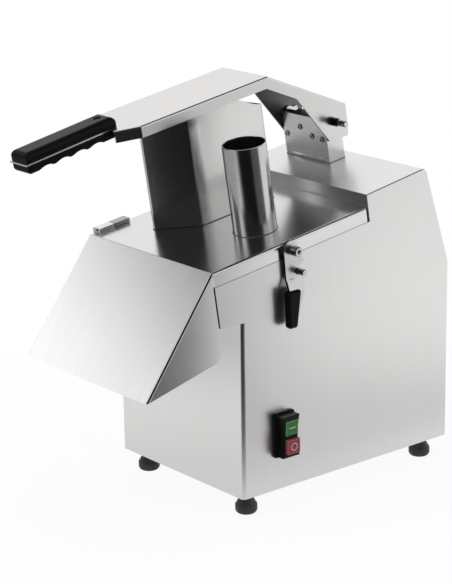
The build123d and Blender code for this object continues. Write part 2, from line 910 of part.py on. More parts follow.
# Motor on its bracket across the housing
motor_top = pulley_low - 8
motor_bracket_width = inner_width - 0.4
with BuildPart() as motor_bracket:
    with BuildSketch(deck.offset(motor_top)):
        with Locations((0, motor_back)):
            Rectangle(motor_bracket_width, motor_bracket_length)
            Circle(motor_boss_radius, mode=Mode.SUBTRACT)
    extrude(amount=motor_bracket_sheet)
    with BuildSketch(deck.offset(motor_top)):
        with Locations((0, motor_back)):
            with GridLocations(motor_bracket_width - motor_bracket_sheet, 0, 2, 1):
                Rectangle(motor_bracket_sheet, motor_bracket_length)
    extrude(amount=-motor_bracket_drop)
write(motor_bracket, "motor_bracket")

with BuildPart() as motor:
    with BuildSketch(deck.offset(motor_top)):
        with Locations((0, motor_back)):
            Circle(motor_end_radius)
    extrude(amount=-motor_length)
    chamfer(motor.edges().filter_by(GeomType.CIRCLE), motor_bevel)
    with BuildSketch(deck.offset(motor_top - motor_end_length)):
        with Locations((0, motor_back)):
            Circle(motor_radius)
    extrude(amount=-motor_length + 2 * motor_end_length)
    with BuildSketch(deck.offset(motor_top)):
        with Locations((0, motor_back)):
            Circle(motor_shaft_radius + running_gap)
    extrude(amount=-motor_shaft_inside - 2, mode=Mode.SUBTRACT)
write(motor, "motor")

with BuildPart() as motor_shaft:
    with BuildSketch(deck.offset(motor_top - motor_shaft_inside)):
        with Locations((0, motor_back)):
            Circle(motor_shaft_radius - 0.02)
    extrude(amount=pulley_top - motor_top + motor_shaft_inside + 2)
write(motor_shaft, "motor_shaft")

with BuildPart() as capacitor:
    with BuildSketch(floor_inside.offset(panel)):
        with Locations((-capacitor_side, -capacitor_ahead)):
            Circle(capacitor_radius)
    extrude(amount=capacitor_height)
    chamfer(capacitor.edges().filter_by(GeomType.CIRCLE), capacitor_bevel)
write(capacitor, "run_capacitor")

with BuildPart() as lid_switch:
    with BuildSketch(deck.offset(-lid_switch_low)):
        with Locations((lid_switch_side, column_face + panel + lid_switch_depth / 2 + 0.2)):
            Rectangle(lid_switch_width, lid_switch_depth)
    extrude(amount=lid_switch_height)
write(lid_switch, "lid_switch")

# Lever arm: the rest of its places in the side view
arm_end = moved(ridge, -rear_slope, rear_length)
front_under = moved(nose_start, front_slope - 90, flange_depth)
half_bend = radians((front_slope + rear_slope) / 2)
bend_angle = -90 + (front_slope - rear_slope) / 2
ridge_under = moved(ridge, bend_angle, flange_depth / cos(half_bend))
cheek_start = moved(ridge_under, -rear_slope, cheek_ahead)
arm_outline = [
    nose_start,
    ridge,
    arm_end,
    (pivot[0] + cheek_rear, pivot[1] - cheek_heel),
    (pivot[0] + cheek_rear, pivot[1] - cheek_low + cheek_rise),
    (pivot[0] - cheek_front, pivot[1] - cheek_low),
    cheek_start,
    ridge_under,
    front_under,
]
arm_side_view = Plane.YZ.offset(-arm_side)
arm_top = Plane(
    origin=(-arm_side, nose_start[0], nose_start[1]),
    x_dir=(1, 0, 0),
    z_dir=(0, -sin(radians(front_slope)), cos(radians(front_slope))),
)


def edges_near(sub_part, *points):
    """The edges of a part that pass closest to each of some points."""
    return [sub_part.edges().sort_by_distance(point)[0] for point in points]


arm_rims = [
    Vector(-arm_side + side * arm_width / 2, (a[0] + b[0]) / 2, (a[1] + b[1]) / 2)
    for side in (-1, 1)
    for a, b in ((nose_start, ridge), (ridge, arm_end))
]
with BuildPart() as lever_arm:
    with BuildSketch(arm_side_view) as arm_view:
        with BuildLine():
            Polyline(*arm_outline, close=True)
        make_face()
        low_corners = arm_view.vertices().group_by(Axis.Y)[0]
        fillet(low_corners, cheek_corner)
        fillet(arm_view.vertices().sort_by_distance(Vector(*cheek_start))[0], cheek_corner)
    extrude(amount=arm_width / 2, both=True)
    # nose that narrows towards the handle
    with BuildSketch(arm_top):
        with BuildLine():
            Polyline(
                (-arm_width / 2, 0),
                (arm_width / 2, 0),
                (nose_width / 2, -nose_length),
                (-nose_width / 2, -nose_length),
                close=True,
            )
        make_face()
    extrude(amount=-flange_depth)
    nose_rims = [
        arm_top.from_local_coords(Vector(side * (arm_width + nose_width) / 4, -nose_length / 2, 0))
        for side in (-1, 1)
    ]
    fillet(edges_near(lever_arm, *arm_rims, *nose_rims), arm_bend)
    # hollow underneath
    with BuildSketch(arm_side_view):
        with BuildLine():
            Polyline(
                moved(nose_start, front_slope - 90, arm_sheet),
                moved(ridge, bend_angle, arm_sheet / cos(half_bend)),
                moved(moved(arm_end, -90 - rear_slope, arm_sheet), -rear_slope, cheek_ahead),
                (arm_end[0] + cheek_ahead, pivot[1] - 2 * cheek_low),
                (pivot[0] - 2 * cheek_front, pivot[1] - 2 * cheek_low),
                (nose_start[0] + 4, nose_start[1] - 2 * cheek_low),
                (nose_start[0], nose_start[1] - cheek_low),
                close=True,
            )
        make_face()
    extrude(amount=arm_width / 2 - arm_sheet, both=True, mode=Mode.SUBTRACT)
    with BuildSketch(arm_top.offset(-arm_sheet)):
        with BuildLine():
            Polyline(
                (-arm_width / 2 + arm_sheet, 2),
                (arm_width / 2 - arm_sheet, 2),
                (arm_width / 2 - arm_sheet, 0),
                (nose_width / 2 - arm_sheet, -nose_length),
                (nose_width / 2 - arm_sheet, -nose_length - 5),
                (-nose_width / 2 + arm_sheet, -nose_length - 5),
                (-nose_width / 2 + arm_sheet, -nose_length),
                (-arm_width / 2 + arm_sheet, 0),
                close=True,
            )
        make_face()
    extrude(amount=-flange_depth, mode=Mode.SUBTRACT)
    # tang for the handle, bent a little further down
    with BuildSketch(arm_side_view):
        with BuildLine():
            Polyline(
                tang_root,
                tang_end,
                moved(tang_end, handle_slope - 90, tang_thickness),
                moved(tang_root, front_slope - 90, tang_thickness),
                close=True,
            )
        make_face()
    extrude(amount=grip_width / 2 - 0.3, both=True)
    # holes for the pivot pin and the grip screws
    with BuildSketch(Plane.YZ):
        with Locations(pivot):
            Circle(pivot_radius + running_gap)
    extrude(amount=-body_width, mode=Mode.SUBTRACT)
    grip_start = moved(tang_root, handle_slope, grip_lap)
    grip_seat = Plane(
        origin=(-arm_side, grip_start[0], grip_start[1]),
        x_dir=(1, 0, 0),
        z_dir=(0, -sin(radians(handle_slope)), cos(radians(handle_slope))),
    )
    grip_screws_at = [(0, -grip_screw_inset), (0, -grip_length + grip_screw_inset)]
    with BuildSketch(grip_seat):
        with Locations(*grip_screws_at):
            Circle(screw_hole)
    extrude(amount=-10, mode=Mode.SUBTRACT)
write(lever_arm, "lever_arm")

# Handle grips: two moulded halves screwed together through the tang
grip_middle = -grip_length / 2
with BuildPart() as grip_upper:
    with BuildSketch(grip_seat):
        with Locations((0, grip_middle)):
            RectangleRounded(grip_width, grip_length, grip_corner)
    extrude(amount=grip_top)
    above_grip = grip_seat.from_local_coords(Vector(0, grip_middle, 2 * grip_top))
    fillet(grip_upper.faces().sort_by_distance(above_grip)[0].edges(), grip_round)
    with BuildSketch(grip_seat.offset(grip_top)):
        with Locations((0, -grip_dish_back)):
            Circle(grip_dish_radius)
    extrude(amount=-grip_dish_depth, taper=30, mode=Mode.SUBTRACT)
    add(lever_arm.part, mode=Mode.SUBTRACT)
write(grip_upper, "grip_upper")

grip_section = Plane(
    origin=grip_seat.origin,
    x_dir=grip_seat.y_dir,
    z_dir=(1, 0, 0),
)
scallop_radius = (scallop_pitch**2 / 4.6 + scallop_depth**2) / (2 * scallop_depth)
with BuildPart() as grip_lower:
    with BuildSketch(grip_seat.offset(-tang_thickness)):
        with Locations((0, grip_middle)):
            RectangleRounded(grip_width, grip_length, grip_corner)
    extrude(amount=-grip_bottom)
    below_grip = grip_seat.from_local_coords(Vector(0, grip_middle, -2 * grip_bottom))
    fillet(grip_lower.faces().sort_by_distance(below_grip)[0].edges(), grip_round - 2)
    with BuildSketch(grip_section):
        scallop_drop = grip_bottom + tang_thickness + scallop_radius - scallop_depth
        for scallop in range(scallop_count):
            with Locations((-scallop_start - scallop * scallop_pitch, -scallop_drop)):
                Circle(scallop_radius)
    extrude(amount=grip_width, both=True, mode=Mode.SUBTRACT)
    with BuildSketch(grip_seat):
        with Locations(*grip_screws_at):
            Circle(screw_hole)
    extrude(amount=-grip_bottom, mode=Mode.SUBTRACT)
    with BuildSketch(grip_seat.offset(-tang_thickness - grip_screw_seat)):
        with Locations(*grip_screws_at):
            Circle(screw_head + 0.3)
    extrude(amount=-grip_bottom, mode=Mode.SUBTRACT)
    add(lever_arm.part, mode=Mode.SUBTRACT)
write(grip_lower, "grip_lower")

with BuildPart() as grip_screws:
    with BuildSketch(grip_seat.offset(-tang_thickness - grip_screw_seat)):
        with Locations(*grip_screws_at):
            Circle(screw_head)
    extrude(amount=-screw_head_height)
    with BuildSketch(grip_seat.offset(-tang_thickness - grip_screw_seat)):
        with Locations(*grip_screws_at):
            Circle(screw_radius)
    extrude(amount=tang_thickness + grip_screw_seat)
write(grip_screws, "grip_screws")

# Pusher: a plate shorter than the hopper, so that it can swing out, on a square stem
pusher_top = pusher_thickness - pusher_lift
with BuildPart() as pusher_plate:
    with BuildSketch(deck.offset(-pusher_lift)):
        add(hopper_outline(hopper_wall + pusher_side_gap - 1))
        with Locations((0, pusher_front_gap - pusher_side_gap)):
            add(hopper_outline(hopper_wall + pusher_side_gap - 1), mode=Mode.INTERSECT)
    extrude(amount=pusher_thickness)
write(pusher_plate, "pusher_plate")


def under_arm(back):
    """The (y, z) place under the front slope of the arm, a distance along the deck."""
    start = Vector(*on_deck(back, 0))
    rise = Vector(-sin(tilt), cos(tilt))
    slope = Vector(cos(radians(front_slope)), sin(radians(front_slope)))
    sheet = Vector(*moved(nose_start, front_slope - 90, arm_sheet))
    gap = sheet - start
    reach = (gap.X * slope.Y - gap.Y * slope.X) / (rise.X * slope.Y - rise.Y * slope.X)
    place = start + rise * reach
    return (place.X, place.Y)


with BuildPart() as pusher_stem:
    for stem_inset, stem_mode in ((0, Mode.ADD), (stem_sheet, Mode.SUBTRACT)):
        stem_front = stem_back - stem_depth / 2 + stem_inset
        stem_rear = stem_back + stem_depth / 2 - stem_inset
        stem_floor = pusher_top + stem_inset
        with BuildSketch(arm_side_view):
            with BuildLine():
                Polyline(
                    on_deck(stem_front, stem_floor),
                    on_deck(stem_rear, stem_floor),
                    under_arm(stem_rear),
                    under_arm(stem_front),
                    close=True,
                )
            make_face()
        extrude(amount=stem_width / 2 - stem_inset, both=True, mode=stem_mode)
write(pusher_stem, "pusher_stem")

# Bracket on the column top that carries the arm
bracket_seat = Plane(
    origin=column_top.from_local_coords(Vector(-arm_side, bracket_back, 0)),
    x_dir=(1, 0, 0),
    z_dir=column_top.z_dir,
)
bracket_front_wall = Plane(
    origin=bracket_seat.origin,
    x_dir=(1, 0, 0),
    z_dir=-bracket_seat.y_dir,
)
bracket_section = Plane(
    origin=bracket_seat.origin,
    x_dir=bracket_seat.y_dir,
    z_dir=(1, 0, 0),
)
pivot_local = bracket_section.to_local_coords(Vector(-arm_side, *pivot))
with BuildPart() as arm_bracket:
    with BuildSketch(bracket_section):
        with Locations((bracket_depth / 2, bracket_height / 2)):
            Rectangle(bracket_depth, bracket_height)
        with Locations((pivot_local.X, pivot_local.Y)):
            Circle(ear_radius)
    extrude(amount=bracket_side, both=True)
    front_folds = arm_bracket.edges().filter_by(
        lambda edge: abs((edge @ 0.5).X + arm_side) > bracket_side - 0.1
    )
    front_folds = front_folds.filter_by(GeomType.LINE).group_by(Axis.Y)[0]
    fillet(front_folds, bracket_bend)
    with BuildSketch(bracket_section):
        with Locations((bracket_depth, bracket_height)):
            Rectangle(2 * (bracket_depth - bracket_sheet), 2 * (bracket_height - bracket_sheet))
        with Locations((0, 1.5 * bracket_height)):
            Rectangle(4 * bracket_sheet, bracket_height)
    extrude(amount=bracket_side - bracket_sheet, both=True, mode=Mode.SUBTRACT)
    with BuildSketch(bracket_front_wall):
        with Locations((0, bracket_sheet + slot_height / 2)):
            Rectangle(2 * bracket_side - slot_margin, slot_height)
        with Locations(*bracket_screws_at):
            Circle(screw_hole)
    extrude(amount=-bracket_sheet, mode=Mode.SUBTRACT)
    with BuildSketch(Plane.YZ):
        with Locations(pivot):
            Circle(pivot_radius + 0.02)
    extrude(amount=-body_width, mode=Mode.SUBTRACT)
write(arm_bracket, "arm_bracket")

with BuildPart() as pivot_block:
    with BuildSketch(bracket_section):
        with Locations((bracket_sheet + block_depth / 2, (bracket_height + block_lift) / 2)):
            Rectangle(block_depth, bracket_height - block_lift)
    extrude(amount=block_width / 2, both=True)
    with BuildSketch(Plane.YZ):
        with Locations(pivot):
            Circle(pivot_radius + 0.02)
    extrude(amount=-body_width, mode=Mode.SUBTRACT)
    with BuildSketch(bracket_front_wall.offset(-bracket_sheet)):
        with Locations(*bracket_screws_at):
            Circle(screw_radius)
    extrude(amount=-screw_length, mode=Mode.SUBTRACT)
write(pivot_block, "pivot_block")

with BuildPart() as bracket_screws:
    with BuildSketch(bracket_front_wall):
        with Locations(*bracket_screws_at):
            Circle(screw_head)
    extrude(amount=screw_head_height, taper=25)
    with BuildSketch(bracket_front_wall):
        with Locations(*bracket_screws_at):
            Circle(screw_radius - 0.02)
    extrude(amount=-screw_length)
write(bracket_screws, "bracket_screws")

pin_start = -arm_side - arm_width / 2 - 4
pin_end = -arm_side + arm_width / 2 + pin_stick_out
with BuildPart() as pivot_pin:
    with BuildSketch(Plane.YZ.offset(pin_start)):
        with Locations(pivot):
            Circle(pivot_radius)
    extrude(amount=pin_end - pin_start)
    with BuildSketch(Plane.YZ.offset(pin_start)):
        with Locations(pivot):
            Circle(pin_head)
    extrude(amount=pin_head_length)
    with BuildSketch(Plane.YZ.offset(-arm_side + arm_width / 2 + 0.4)):
        with Locations(pivot):
            Circle(pin_collar)
    extrude(amount=pin_collar_length)
    with BuildSketch(Plane.YZ.offset(pin_end - pin_groove_back)):
        with Locations(pivot):
            Circle(pivot_radius + 1)
            Circle(pivot_radius - pin_groove_depth, mode=Mode.SUBTRACT)
    extrude(amount=pin_groove_width, mode=Mode.SUBTRACT)
    pin_tip = pivot_pin.faces().sort_by(Axis.X)[-1]
    chamfer(pin_tip.edges(), 0.8)
write(pivot_pin, "pivot_pin")

# Side latch: bolt, washer, cranked lever with a grip, and the stud it hooks on
bolt_end = latch_washer + latch_plate + 0.6 + latch_head_length
with BuildPart() as latch_bolt:
    with BuildSketch(right_wall.offset(-panel - 4)):
        with Locations(latch_place):
            RegularPolygon(7, 6)
    extrude(amount=4)
    with BuildSketch(right_wall.offset(-panel)):
        with Locations(latch_place):
            Circle(latch_bolt_radius)
    extrude(amount=panel + bolt_end)
    with BuildSketch(right_wall.offset(bolt_end - latch_head_length)):
        with Locations(latch_place):
            Circle(latch_head_radius)
    extrude(amount=latch_head_length)
    bolt_face = latch_bolt.faces().sort_by(Axis.X)[-1]
    chamfer(bolt_face.edges(), 1)
    with BuildSketch(right_wall.offset(bolt_end)):
        with Locations(latch_place):
            RegularPolygon(2.9, 6)
    extrude(amount=-4, mode=Mode.SUBTRACT)
write(latch_bolt, "latch_bolt")

with BuildPart() as latch_washer_ring:
    with BuildSketch(right_wall):
        with Locations(latch_place):
            Circle(latch_boss - 1)
            Circle(latch_bolt_radius + running_gap, mode=Mode.SUBTRACT)
    extrude(amount=latch_washer - 0.1)
write(latch_washer_ring, "latch_washer")

with BuildPart() as latch_stud:
    with BuildSketch(right_wall.offset(-panel - 4)):
        with Locations(stud_place):
            RegularPolygon(7, 6)
    extrude(amount=4)
    with BuildSketch(right_wall.offset(-panel)):
        with Locations(stud_place):
            Circle(stud_radius)
    extrude(amount=panel + stud_length)
    stud_tip = latch_stud.faces().sort_by(Axis.X)[-1]
    chamfer(stud_tip.edges(), 0.8)
write(latch_stud, "latch_stud")

lever_start = latch_washer
hook_radius = sqrt((stud_place[0] - latch_place[0]) ** 2 + (stud_place[1] - latch_place[1]) ** 2)
hook_angle = degrees(atan2(stud_place[1] - latch_place[1], stud_place[0] - latch_place[0]))
hook_half = stud_radius + hook_play
lever_path_plane = Plane(
    origin=(half_width, latch_place[0] - lever_path_start, latch_place[1]),
    x_dir=(1, 0, 0),
    z_dir=(0, -1, 0),
)
with BuildPart() as latch_lever:
    with BuildSketch(lever_path_plane):
        with BuildLine():
            Polyline(
                (lever_start, latch_boss + 5),
                (lever_start, -latch_crank_top),
                (lever_start + latch_crank, -latch_crank_low),
                (lever_start + latch_crank, -latch_reach),
                (lever_start + latch_crank + latch_plate, -latch_reach),
                (lever_start + latch_crank + latch_plate, -latch_crank_low + 1),
                (lever_start + latch_plate, -latch_crank_top + 1),
                (lever_start + latch_plate, latch_boss + 5),
                close=True,
            )
        make_face()
    extrude(amount=-2 * lever_path_start)
    with BuildSketch(right_wall.offset(-10)) as lever_view:
        with BuildLine():
            Polyline(
                (latch_place[0] - latch_boss + 0.5, latch_place[1] - 2),
                (latch_place[0] - 7, latch_place[1] - 40),
                (latch_place[0] - 8, latch_place[1] - latch_reach),
                (latch_place[0] + 2, latch_place[1] - latch_reach),
                (latch_place[0] + 13, latch_place[1] - latch_crank_low - 6),
                (latch_place[0] + hook_reach, latch_place[1] - latch_crank_top + 1),
                (latch_place[0] + hook_reach, latch_place[1] - 16),
                (latch_place[0] + latch_boss - 0.5, latch_place[1]),
                close=True,
            )
        make_face()
        fillet(lever_view.vertices().group_by(Axis.X)[-1], 3)
        with Locations(latch_place):
            Circle(latch_boss)
    extrude(amount=60, mode=Mode.INTERSECT)
    # hook: a slot that turns about the bolt
    with BuildSketch(right_wall.offset(-10)):
        with BuildLine():
            hook_end = hook_angle + 50
            outer_a = moved(latch_place, hook_angle, hook_radius + hook_half)
            outer_m = moved(latch_place, hook_angle + 25, hook_radius + hook_half)
            outer_b = moved(latch_place, hook_end, hook_radius + hook_half)
            inner_b = moved(latch_place, hook_end, hook_radius - hook_half)
            inner_m = moved(latch_place, hook_angle + 25, hook_radius - hook_half)
            inner_a = moved(latch_place, hook_angle, hook_radius - hook_half)
            ThreePointArc(outer_a, outer_m, outer_b)
            Line(outer_b, inner_b)
            ThreePointArc(inner_b, inner_m, inner_a)
            Line(inner_a, outer_a)
        make_face()
        with Locations(stud_place):
            Circle(hook_half)
        with Locations(latch_place):
            Circle(latch_bolt_radius + running_gap)
    extrude(amount=60, mode=Mode.SUBTRACT)
write(latch_lever, "latch_lever")

grip_outer = lever_start + latch_crank + latch_plate / 2
with BuildPart() as latch_grip:
    with BuildSketch(right_wall.offset(grip_outer - latch_grip_depth / 2)):
        with BuildLine():
            Polyline(
                (latch_place[0] - 13, latch_place[1] - latch_reach + latch_grip_length - 2),
                (latch_place[0] + 8.5, latch_place[1] - latch_reach + latch_grip_length - 2),
                (latch_place[0] + 2.5, latch_place[1] - latch_reach - 2),
                (latch_place[0] - 11, latch_place[1] - latch_reach - 2),
                close=True,
            )
        make_face()
    extrude(amount=latch_grip_depth)
    chamfer(latch_grip.edges(), 2.5)
    add(latch_lever.part, mode=Mode.SUBTRACT)
write(latch_grip, "latch_grip")

# Switch with its two buttons
switch_face = right_wall.offset(switch_flange + switch_depth)
with BuildPart() as switch_housing:
    with BuildSketch(right_wall):
        with Locations(switch_place):
            RectangleRounded(switch_flange_width, switch_flange_height, 4)
    extrude(amount=switch_flange)
    with BuildSketch(right_wall):
        with Locations(switch_place):
            Rectangle(switch_width, switch_tall)
    extrude(amount=-switch_inside)
    with BuildSketch(right_wall.offset(switch_flange)):
        with BuildLine():
            left = switch_place[0] - switch_width / 2
            right = switch_place[0] + switch_width / 2
            pinch = (switch_width - switch_waist) / 2
            top = switch_place[1] + switch_tall / 2
            bottom = switch_place[1] - switch_tall / 2
            Line((left, top), (right, top))
            ThreePointArc((right, top), (right - pinch, switch_place[1]), (right, bottom))
            Line((right, bottom), (left, bottom))
            ThreePointArc((left, bottom), (left + pinch, switch_place[1]), (left, top))
        make_face()
    extrude(amount=switch_depth)
    outer_face = switch_housing.faces().sort_by(Axis.X)[-1]
    fillet(outer_face.edges(), 1.5)
    with BuildSketch(switch_face):
        with Locations(switch_place):
            with GridLocations(0, 2 * button_offset, 1, 2):
                Rectangle(button_width + 2 * button_gap, button_height + 2 * button_gap)
    extrude(amount=-button_depth - button_stroke - 1, mode=Mode.SUBTRACT)
write(switch_housing, "switch_housing")

for button_name, side, proud in (("start", 1, start_proud), ("stop", -1, stop_proud)):
    with BuildPart() as button:
        with BuildSketch(switch_face.offset(proud)):
            with Locations((switch_place[0], switch_place[1] + side * button_offset)):
                Rectangle(button_width, button_height)
        extrude(amount=-button_depth)
        button_face = button.faces().sort_by(Axis.X)[-1]
        fillet(button_face.edges(), 1.2)
    write(button, f"{button_name}_button")

# Lid hinges along the left edge: low knuckles that reach over the edge of the lid
knuckle = (hinge_length - hinge_split) / 2
hinge_outer = -half_width - hinge_overhang
hinge_inner = -half_width + hinge_lap
hinge_axis_x = hinge_inner - hinge_lap + hinge_pin_inset
for hinge_name, start, way in (("front", hinge_inset, 1), ("rear", lid_length - hinge_inset, -1)):
    lid_end = start + way * knuckle
    body_start = lid_end + way * hinge_split
    body_end = body_start + way * knuckle
    lid_from = min(start, lid_end)
    body_from = min(body_start, body_end)
    for leaf_name, leaf_from, play in (("lid", lid_from, 0.0), ("body", body_from, 0.4)):
        leaf_plane = Plane(origin=deck_point(leaf_from, 0), x_dir=(1, 0, 0), z_dir=-deck_ahead)
        with BuildPart() as leaf:
            with BuildSketch(leaf_plane) as leaf_view:
                with BuildLine():
                    Polyline(
                        (hinge_outer, -hinge_drop),
                        (hinge_outer, hinge_rise),
                        (hinge_inner, hinge_rise),
                        (hinge_inner, play),
                        (-half_width - 0.4, play),
                        (-half_width - 0.4, -hinge_drop),
                        close=True,
                    )
                make_face()
                outer_corner = leaf_view.vertices().group_by(Axis.X)[0].sort_by(Axis.Y)[-1]
                fillet(outer_corner, hinge_curl)
                if leaf_name == "body":
                    with Locations((-half_width - 0.4 - strap_thickness / 2, -strap_low / 2)):
                        Rectangle(strap_thickness, strap_low)
                    with Locations((-half_width - 1, -(strap_low + lid_skirt + 2) / 2)):
                        Rectangle(2, strap_low - lid_skirt - 2)
                with Locations((hinge_axis_x, hinge_rise / 2 + 0.2)):
                    Circle(hinge_pin_radius + running_gap, mode=Mode.SUBTRACT)
            extrude(amount=-knuckle)
        write(leaf, f"hinge_{hinge_name}_{leaf_name}")
    pin_plane = Plane(
        origin=deck_point(min(start, body_end) - 1, hinge_rise / 2 + 0.2, hinge_axis_x),
        x_dir=(1, 0, 0),
        z_dir=-deck_ahead,
    )
    with BuildPart() as hinge_pin:
        with BuildSketch(pin_plane):
            Circle(hinge_pin_radius)
        extrude(amount=-hinge_length - 2)
    write(hinge_pin, f"hinge_{hinge_name}_pin")
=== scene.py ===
"""Looks of the vegetable cutting machine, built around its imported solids.

Every length is in metres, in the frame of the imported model: +Z up, -Y the front with the
hood, +X the side with the switch and the latch.
"""

import logging
import math
from dataclasses import dataclass
from enum import Enum
from typing import Iterable, Sequence

import bmesh
import bpy
from mathutils import Matrix, Vector

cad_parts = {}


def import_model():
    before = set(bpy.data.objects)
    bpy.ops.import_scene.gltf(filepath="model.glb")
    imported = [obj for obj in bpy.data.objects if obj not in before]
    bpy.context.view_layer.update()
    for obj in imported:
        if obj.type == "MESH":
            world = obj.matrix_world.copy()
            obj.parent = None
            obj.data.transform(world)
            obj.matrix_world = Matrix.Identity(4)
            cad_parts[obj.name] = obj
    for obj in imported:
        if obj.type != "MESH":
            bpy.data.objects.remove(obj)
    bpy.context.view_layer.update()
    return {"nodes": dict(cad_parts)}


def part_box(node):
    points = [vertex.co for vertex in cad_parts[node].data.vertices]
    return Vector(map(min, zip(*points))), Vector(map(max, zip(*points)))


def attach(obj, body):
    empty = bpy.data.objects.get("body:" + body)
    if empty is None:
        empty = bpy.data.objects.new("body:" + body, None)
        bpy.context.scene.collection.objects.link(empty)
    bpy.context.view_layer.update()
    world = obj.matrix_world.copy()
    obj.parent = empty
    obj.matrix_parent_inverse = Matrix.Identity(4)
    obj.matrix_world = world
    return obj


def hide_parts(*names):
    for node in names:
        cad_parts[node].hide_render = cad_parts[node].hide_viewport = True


LOG = logging.getLogger("cutter")
MM = 0.001
HOUSING_DEPTH = 0.340
DARK_GRAIN = 0.72
LIGHT_GRAIN = 1.22
BROAD_SHARE = 0.12
FINE_RELIEF = 0.00002
TURNED_RELIEF = 0.00001
Color = tuple[float, float, float]
Way = tuple[float, float, float]


def shade(color: Color, factor: float, lift: float = 0.0) -> Color:
    """A colour times a factor, lifted by an amount and held at white."""
    return tuple(min(1.0, c * factor + lift) for c in color)


def housing_middle() -> Vector:
    """The middle of the housing's footprint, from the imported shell's sides and back."""
    low, high = (Vector(corner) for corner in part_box("body_shell"))
    return Vector(((low.x + high.x) / 2, high.y - HOUSING_DEPTH / 2, 0))


class Body(Enum):
    """The rigid bodies that the pieces made here ride on."""

    MACHINE = "machine"
    ROTOR = "rotor"


class Channel:
    """A shader socket with arithmetic: an expression on channels adds its Math nodes."""

    def __init__(self, tree: "ShaderTree", socket: bpy.types.NodeSocket) -> None:
        """Keeps the socket and the tree it is in."""
        self.tree = tree
        self.socket = socket

    def math(self, operation: str, *values: "Channel | float") -> "Channel":
        """Adds a Math node.

        Args:
            operation: the Math node's operation.
            values: channels or numbers, in the order of the node's inputs.

        Returns:
            The node's result.
        """
        inputs = dict(enumerate(values))
        return self.tree.node("ShaderNodeMath", {"operation": operation}, inputs)

    def size(self) -> "Channel":
        """The value without its sign."""
        return self.math("ABSOLUTE", self)

    def highest(self, *others: "Channel") -> "Channel":
        """The highest of this and other channels."""
        best = self
        for other in others:
            best = best.math("MAXIMUM", best, other)
        return best

    def __add__(self, other: "Channel | float") -> "Channel":
        """Sum."""
        return self.math("ADD", self, other)

    def __sub__(self, other: "Channel | float") -> "Channel":
        """Difference."""
        return self.math("SUBTRACT", self, other)

    def __rsub__(self, other: float) -> "Channel":
        """Difference from a number."""
        return self.math("SUBTRACT", other, self)

    def __mul__(self, other: "Channel | float") -> "Channel":
        """Product."""
        return self.math("MULTIPLY", self, other)

    def within(self, low: float, high: float) -> "Channel":
        """A smooth step from 0 at low to 1 at high."""
        settings = {"interpolation_type": "SMOOTHSTEP"}
        inputs = {"Value": self, "From Min": low, "From Max": high}
        return self.tree.node("ShaderNodeMapRange", settings, inputs)


class ShaderTree:
    """The nodes of one material or of the world."""

    def __init__(self, tree: bpy.types.NodeTree) -> None:
        """Empties the tree, to fill it anew."""
        self.tree = tree
        tree.nodes.clear()

    def node(
        self,
        kind: str,
        settings: dict[str, object] | None = None,
        inputs: dict[str | int, object] | None = None,
        output: str | int = 0,
    ) -> Channel:
        """Adds any node.

        Args:
            kind: the node's type.
            settings: its settings, set first.
            inputs: values or channels for its sockets, by name or number.
            output: the socket to give back, by name or number.

        Returns:
            The chosen output as a channel.
        """
        made = self.tree.nodes.new(kind)
        for key, value in (settings or {}).items():
            setattr(made, key, value)
        for key, value in (inputs or {}).items():
            socket = made.inputs[key]
            if isinstance(value, Channel):
                self.tree.links.new(value.socket, socket)
            else:
                socket.default_value = value
        outputs = made.outputs
        return Channel(self, outputs[output]) if len(outputs) else Channel(self, None)

    def place(
        self, scale: Sequence[float] = (1, 1, 1), turn: Sequence[float] = (0, 0, 0)
    ) -> Channel:
        """Object coordinates, scaled and turned about the axes (radians)."""
        here = self.node("ShaderNodeTexCoord", output="Object")
        return self.node(
            "ShaderNodeMapping",
            {"vector_type": "POINT"},
            {"Vector": here, "Scale": tuple(scale), "Rotation": tuple(turn)},
        )

    def axis(self, coordinates: str, name: str) -> Channel:
        """One axis of a kind of texture coordinates."""
        where = self.node("ShaderNodeTexCoord", output=coordinates)
        return self.node("ShaderNodeSeparateXYZ", None, {0: where}, name)

    def noise(
        self, where: Channel, scale: float = 1.0, detail: float = 2.0, rough: float = 0.5
    ) -> Channel:
        """Noise from 0 to 1 at a place."""
        inputs = {"Vector": where, "Scale": scale, "Detail": detail, "Roughness": rough}
        return self.node("ShaderNodeTexNoise", None, inputs, "Fac")

    def clouds(self, scale: float, detail: float = 2.0, rough: float = 0.5) -> Channel:
        """Noise from 0 to 1 that is alike in every direction."""
        return self.noise(self.place(), scale, detail, rough)

    def blend(
        self, factor: Channel | float, low: Color | Channel, high: Color | Channel
    ) -> Channel:
        """A colour between two colours."""
        low = (*low, 1.0) if isinstance(low, tuple) else low
        high = (*high, 1.0) if isinstance(high, tuple) else high
        settings = {"data_type": "RGBA", "clamp_factor": True}
        return self.node("ShaderNodeMix", settings, {0: factor, 6: low, 7: high}, 2)

    def bump(self, height: Channel, distance: float, strength: float) -> Channel:
        """A normal bent by a height."""
        inputs = {"Height": height, "Distance": distance, "Strength": strength}
        return self.node("ShaderNodeBump", None, inputs)

    def surface(self, inputs: dict[str | int, object]) -> Channel:
        """A Principled surface joined to the material's output."""
        shader = self.node("ShaderNodeBsdfPrincipled", None, inputs)
        self.node("ShaderNodeOutputMaterial", None, {"Surface": shader})
        return shader


@dataclass(frozen=True)
class Finish:
    """What every finish has: a name, a colour and a gloss."""

    name: str
    color: Color
    roughness: float

    def material(self) -> bpy.types.Material:
        """The Blender material of this finish, made once."""
        label = f"{self.name}_finish"
        found = bpy.data.materials.get(label)
        if found is None:
            found = bpy.data.materials.new(label)
            found.use_nodes = True
            self.fill(ShaderTree(found.node_tree))
            found.diffuse_color = (*self.color, 1.0)
        return found

    def fill(self, tree: ShaderTree) -> None:
        """Builds the nodes of the finish."""
        raise NotImplementedError


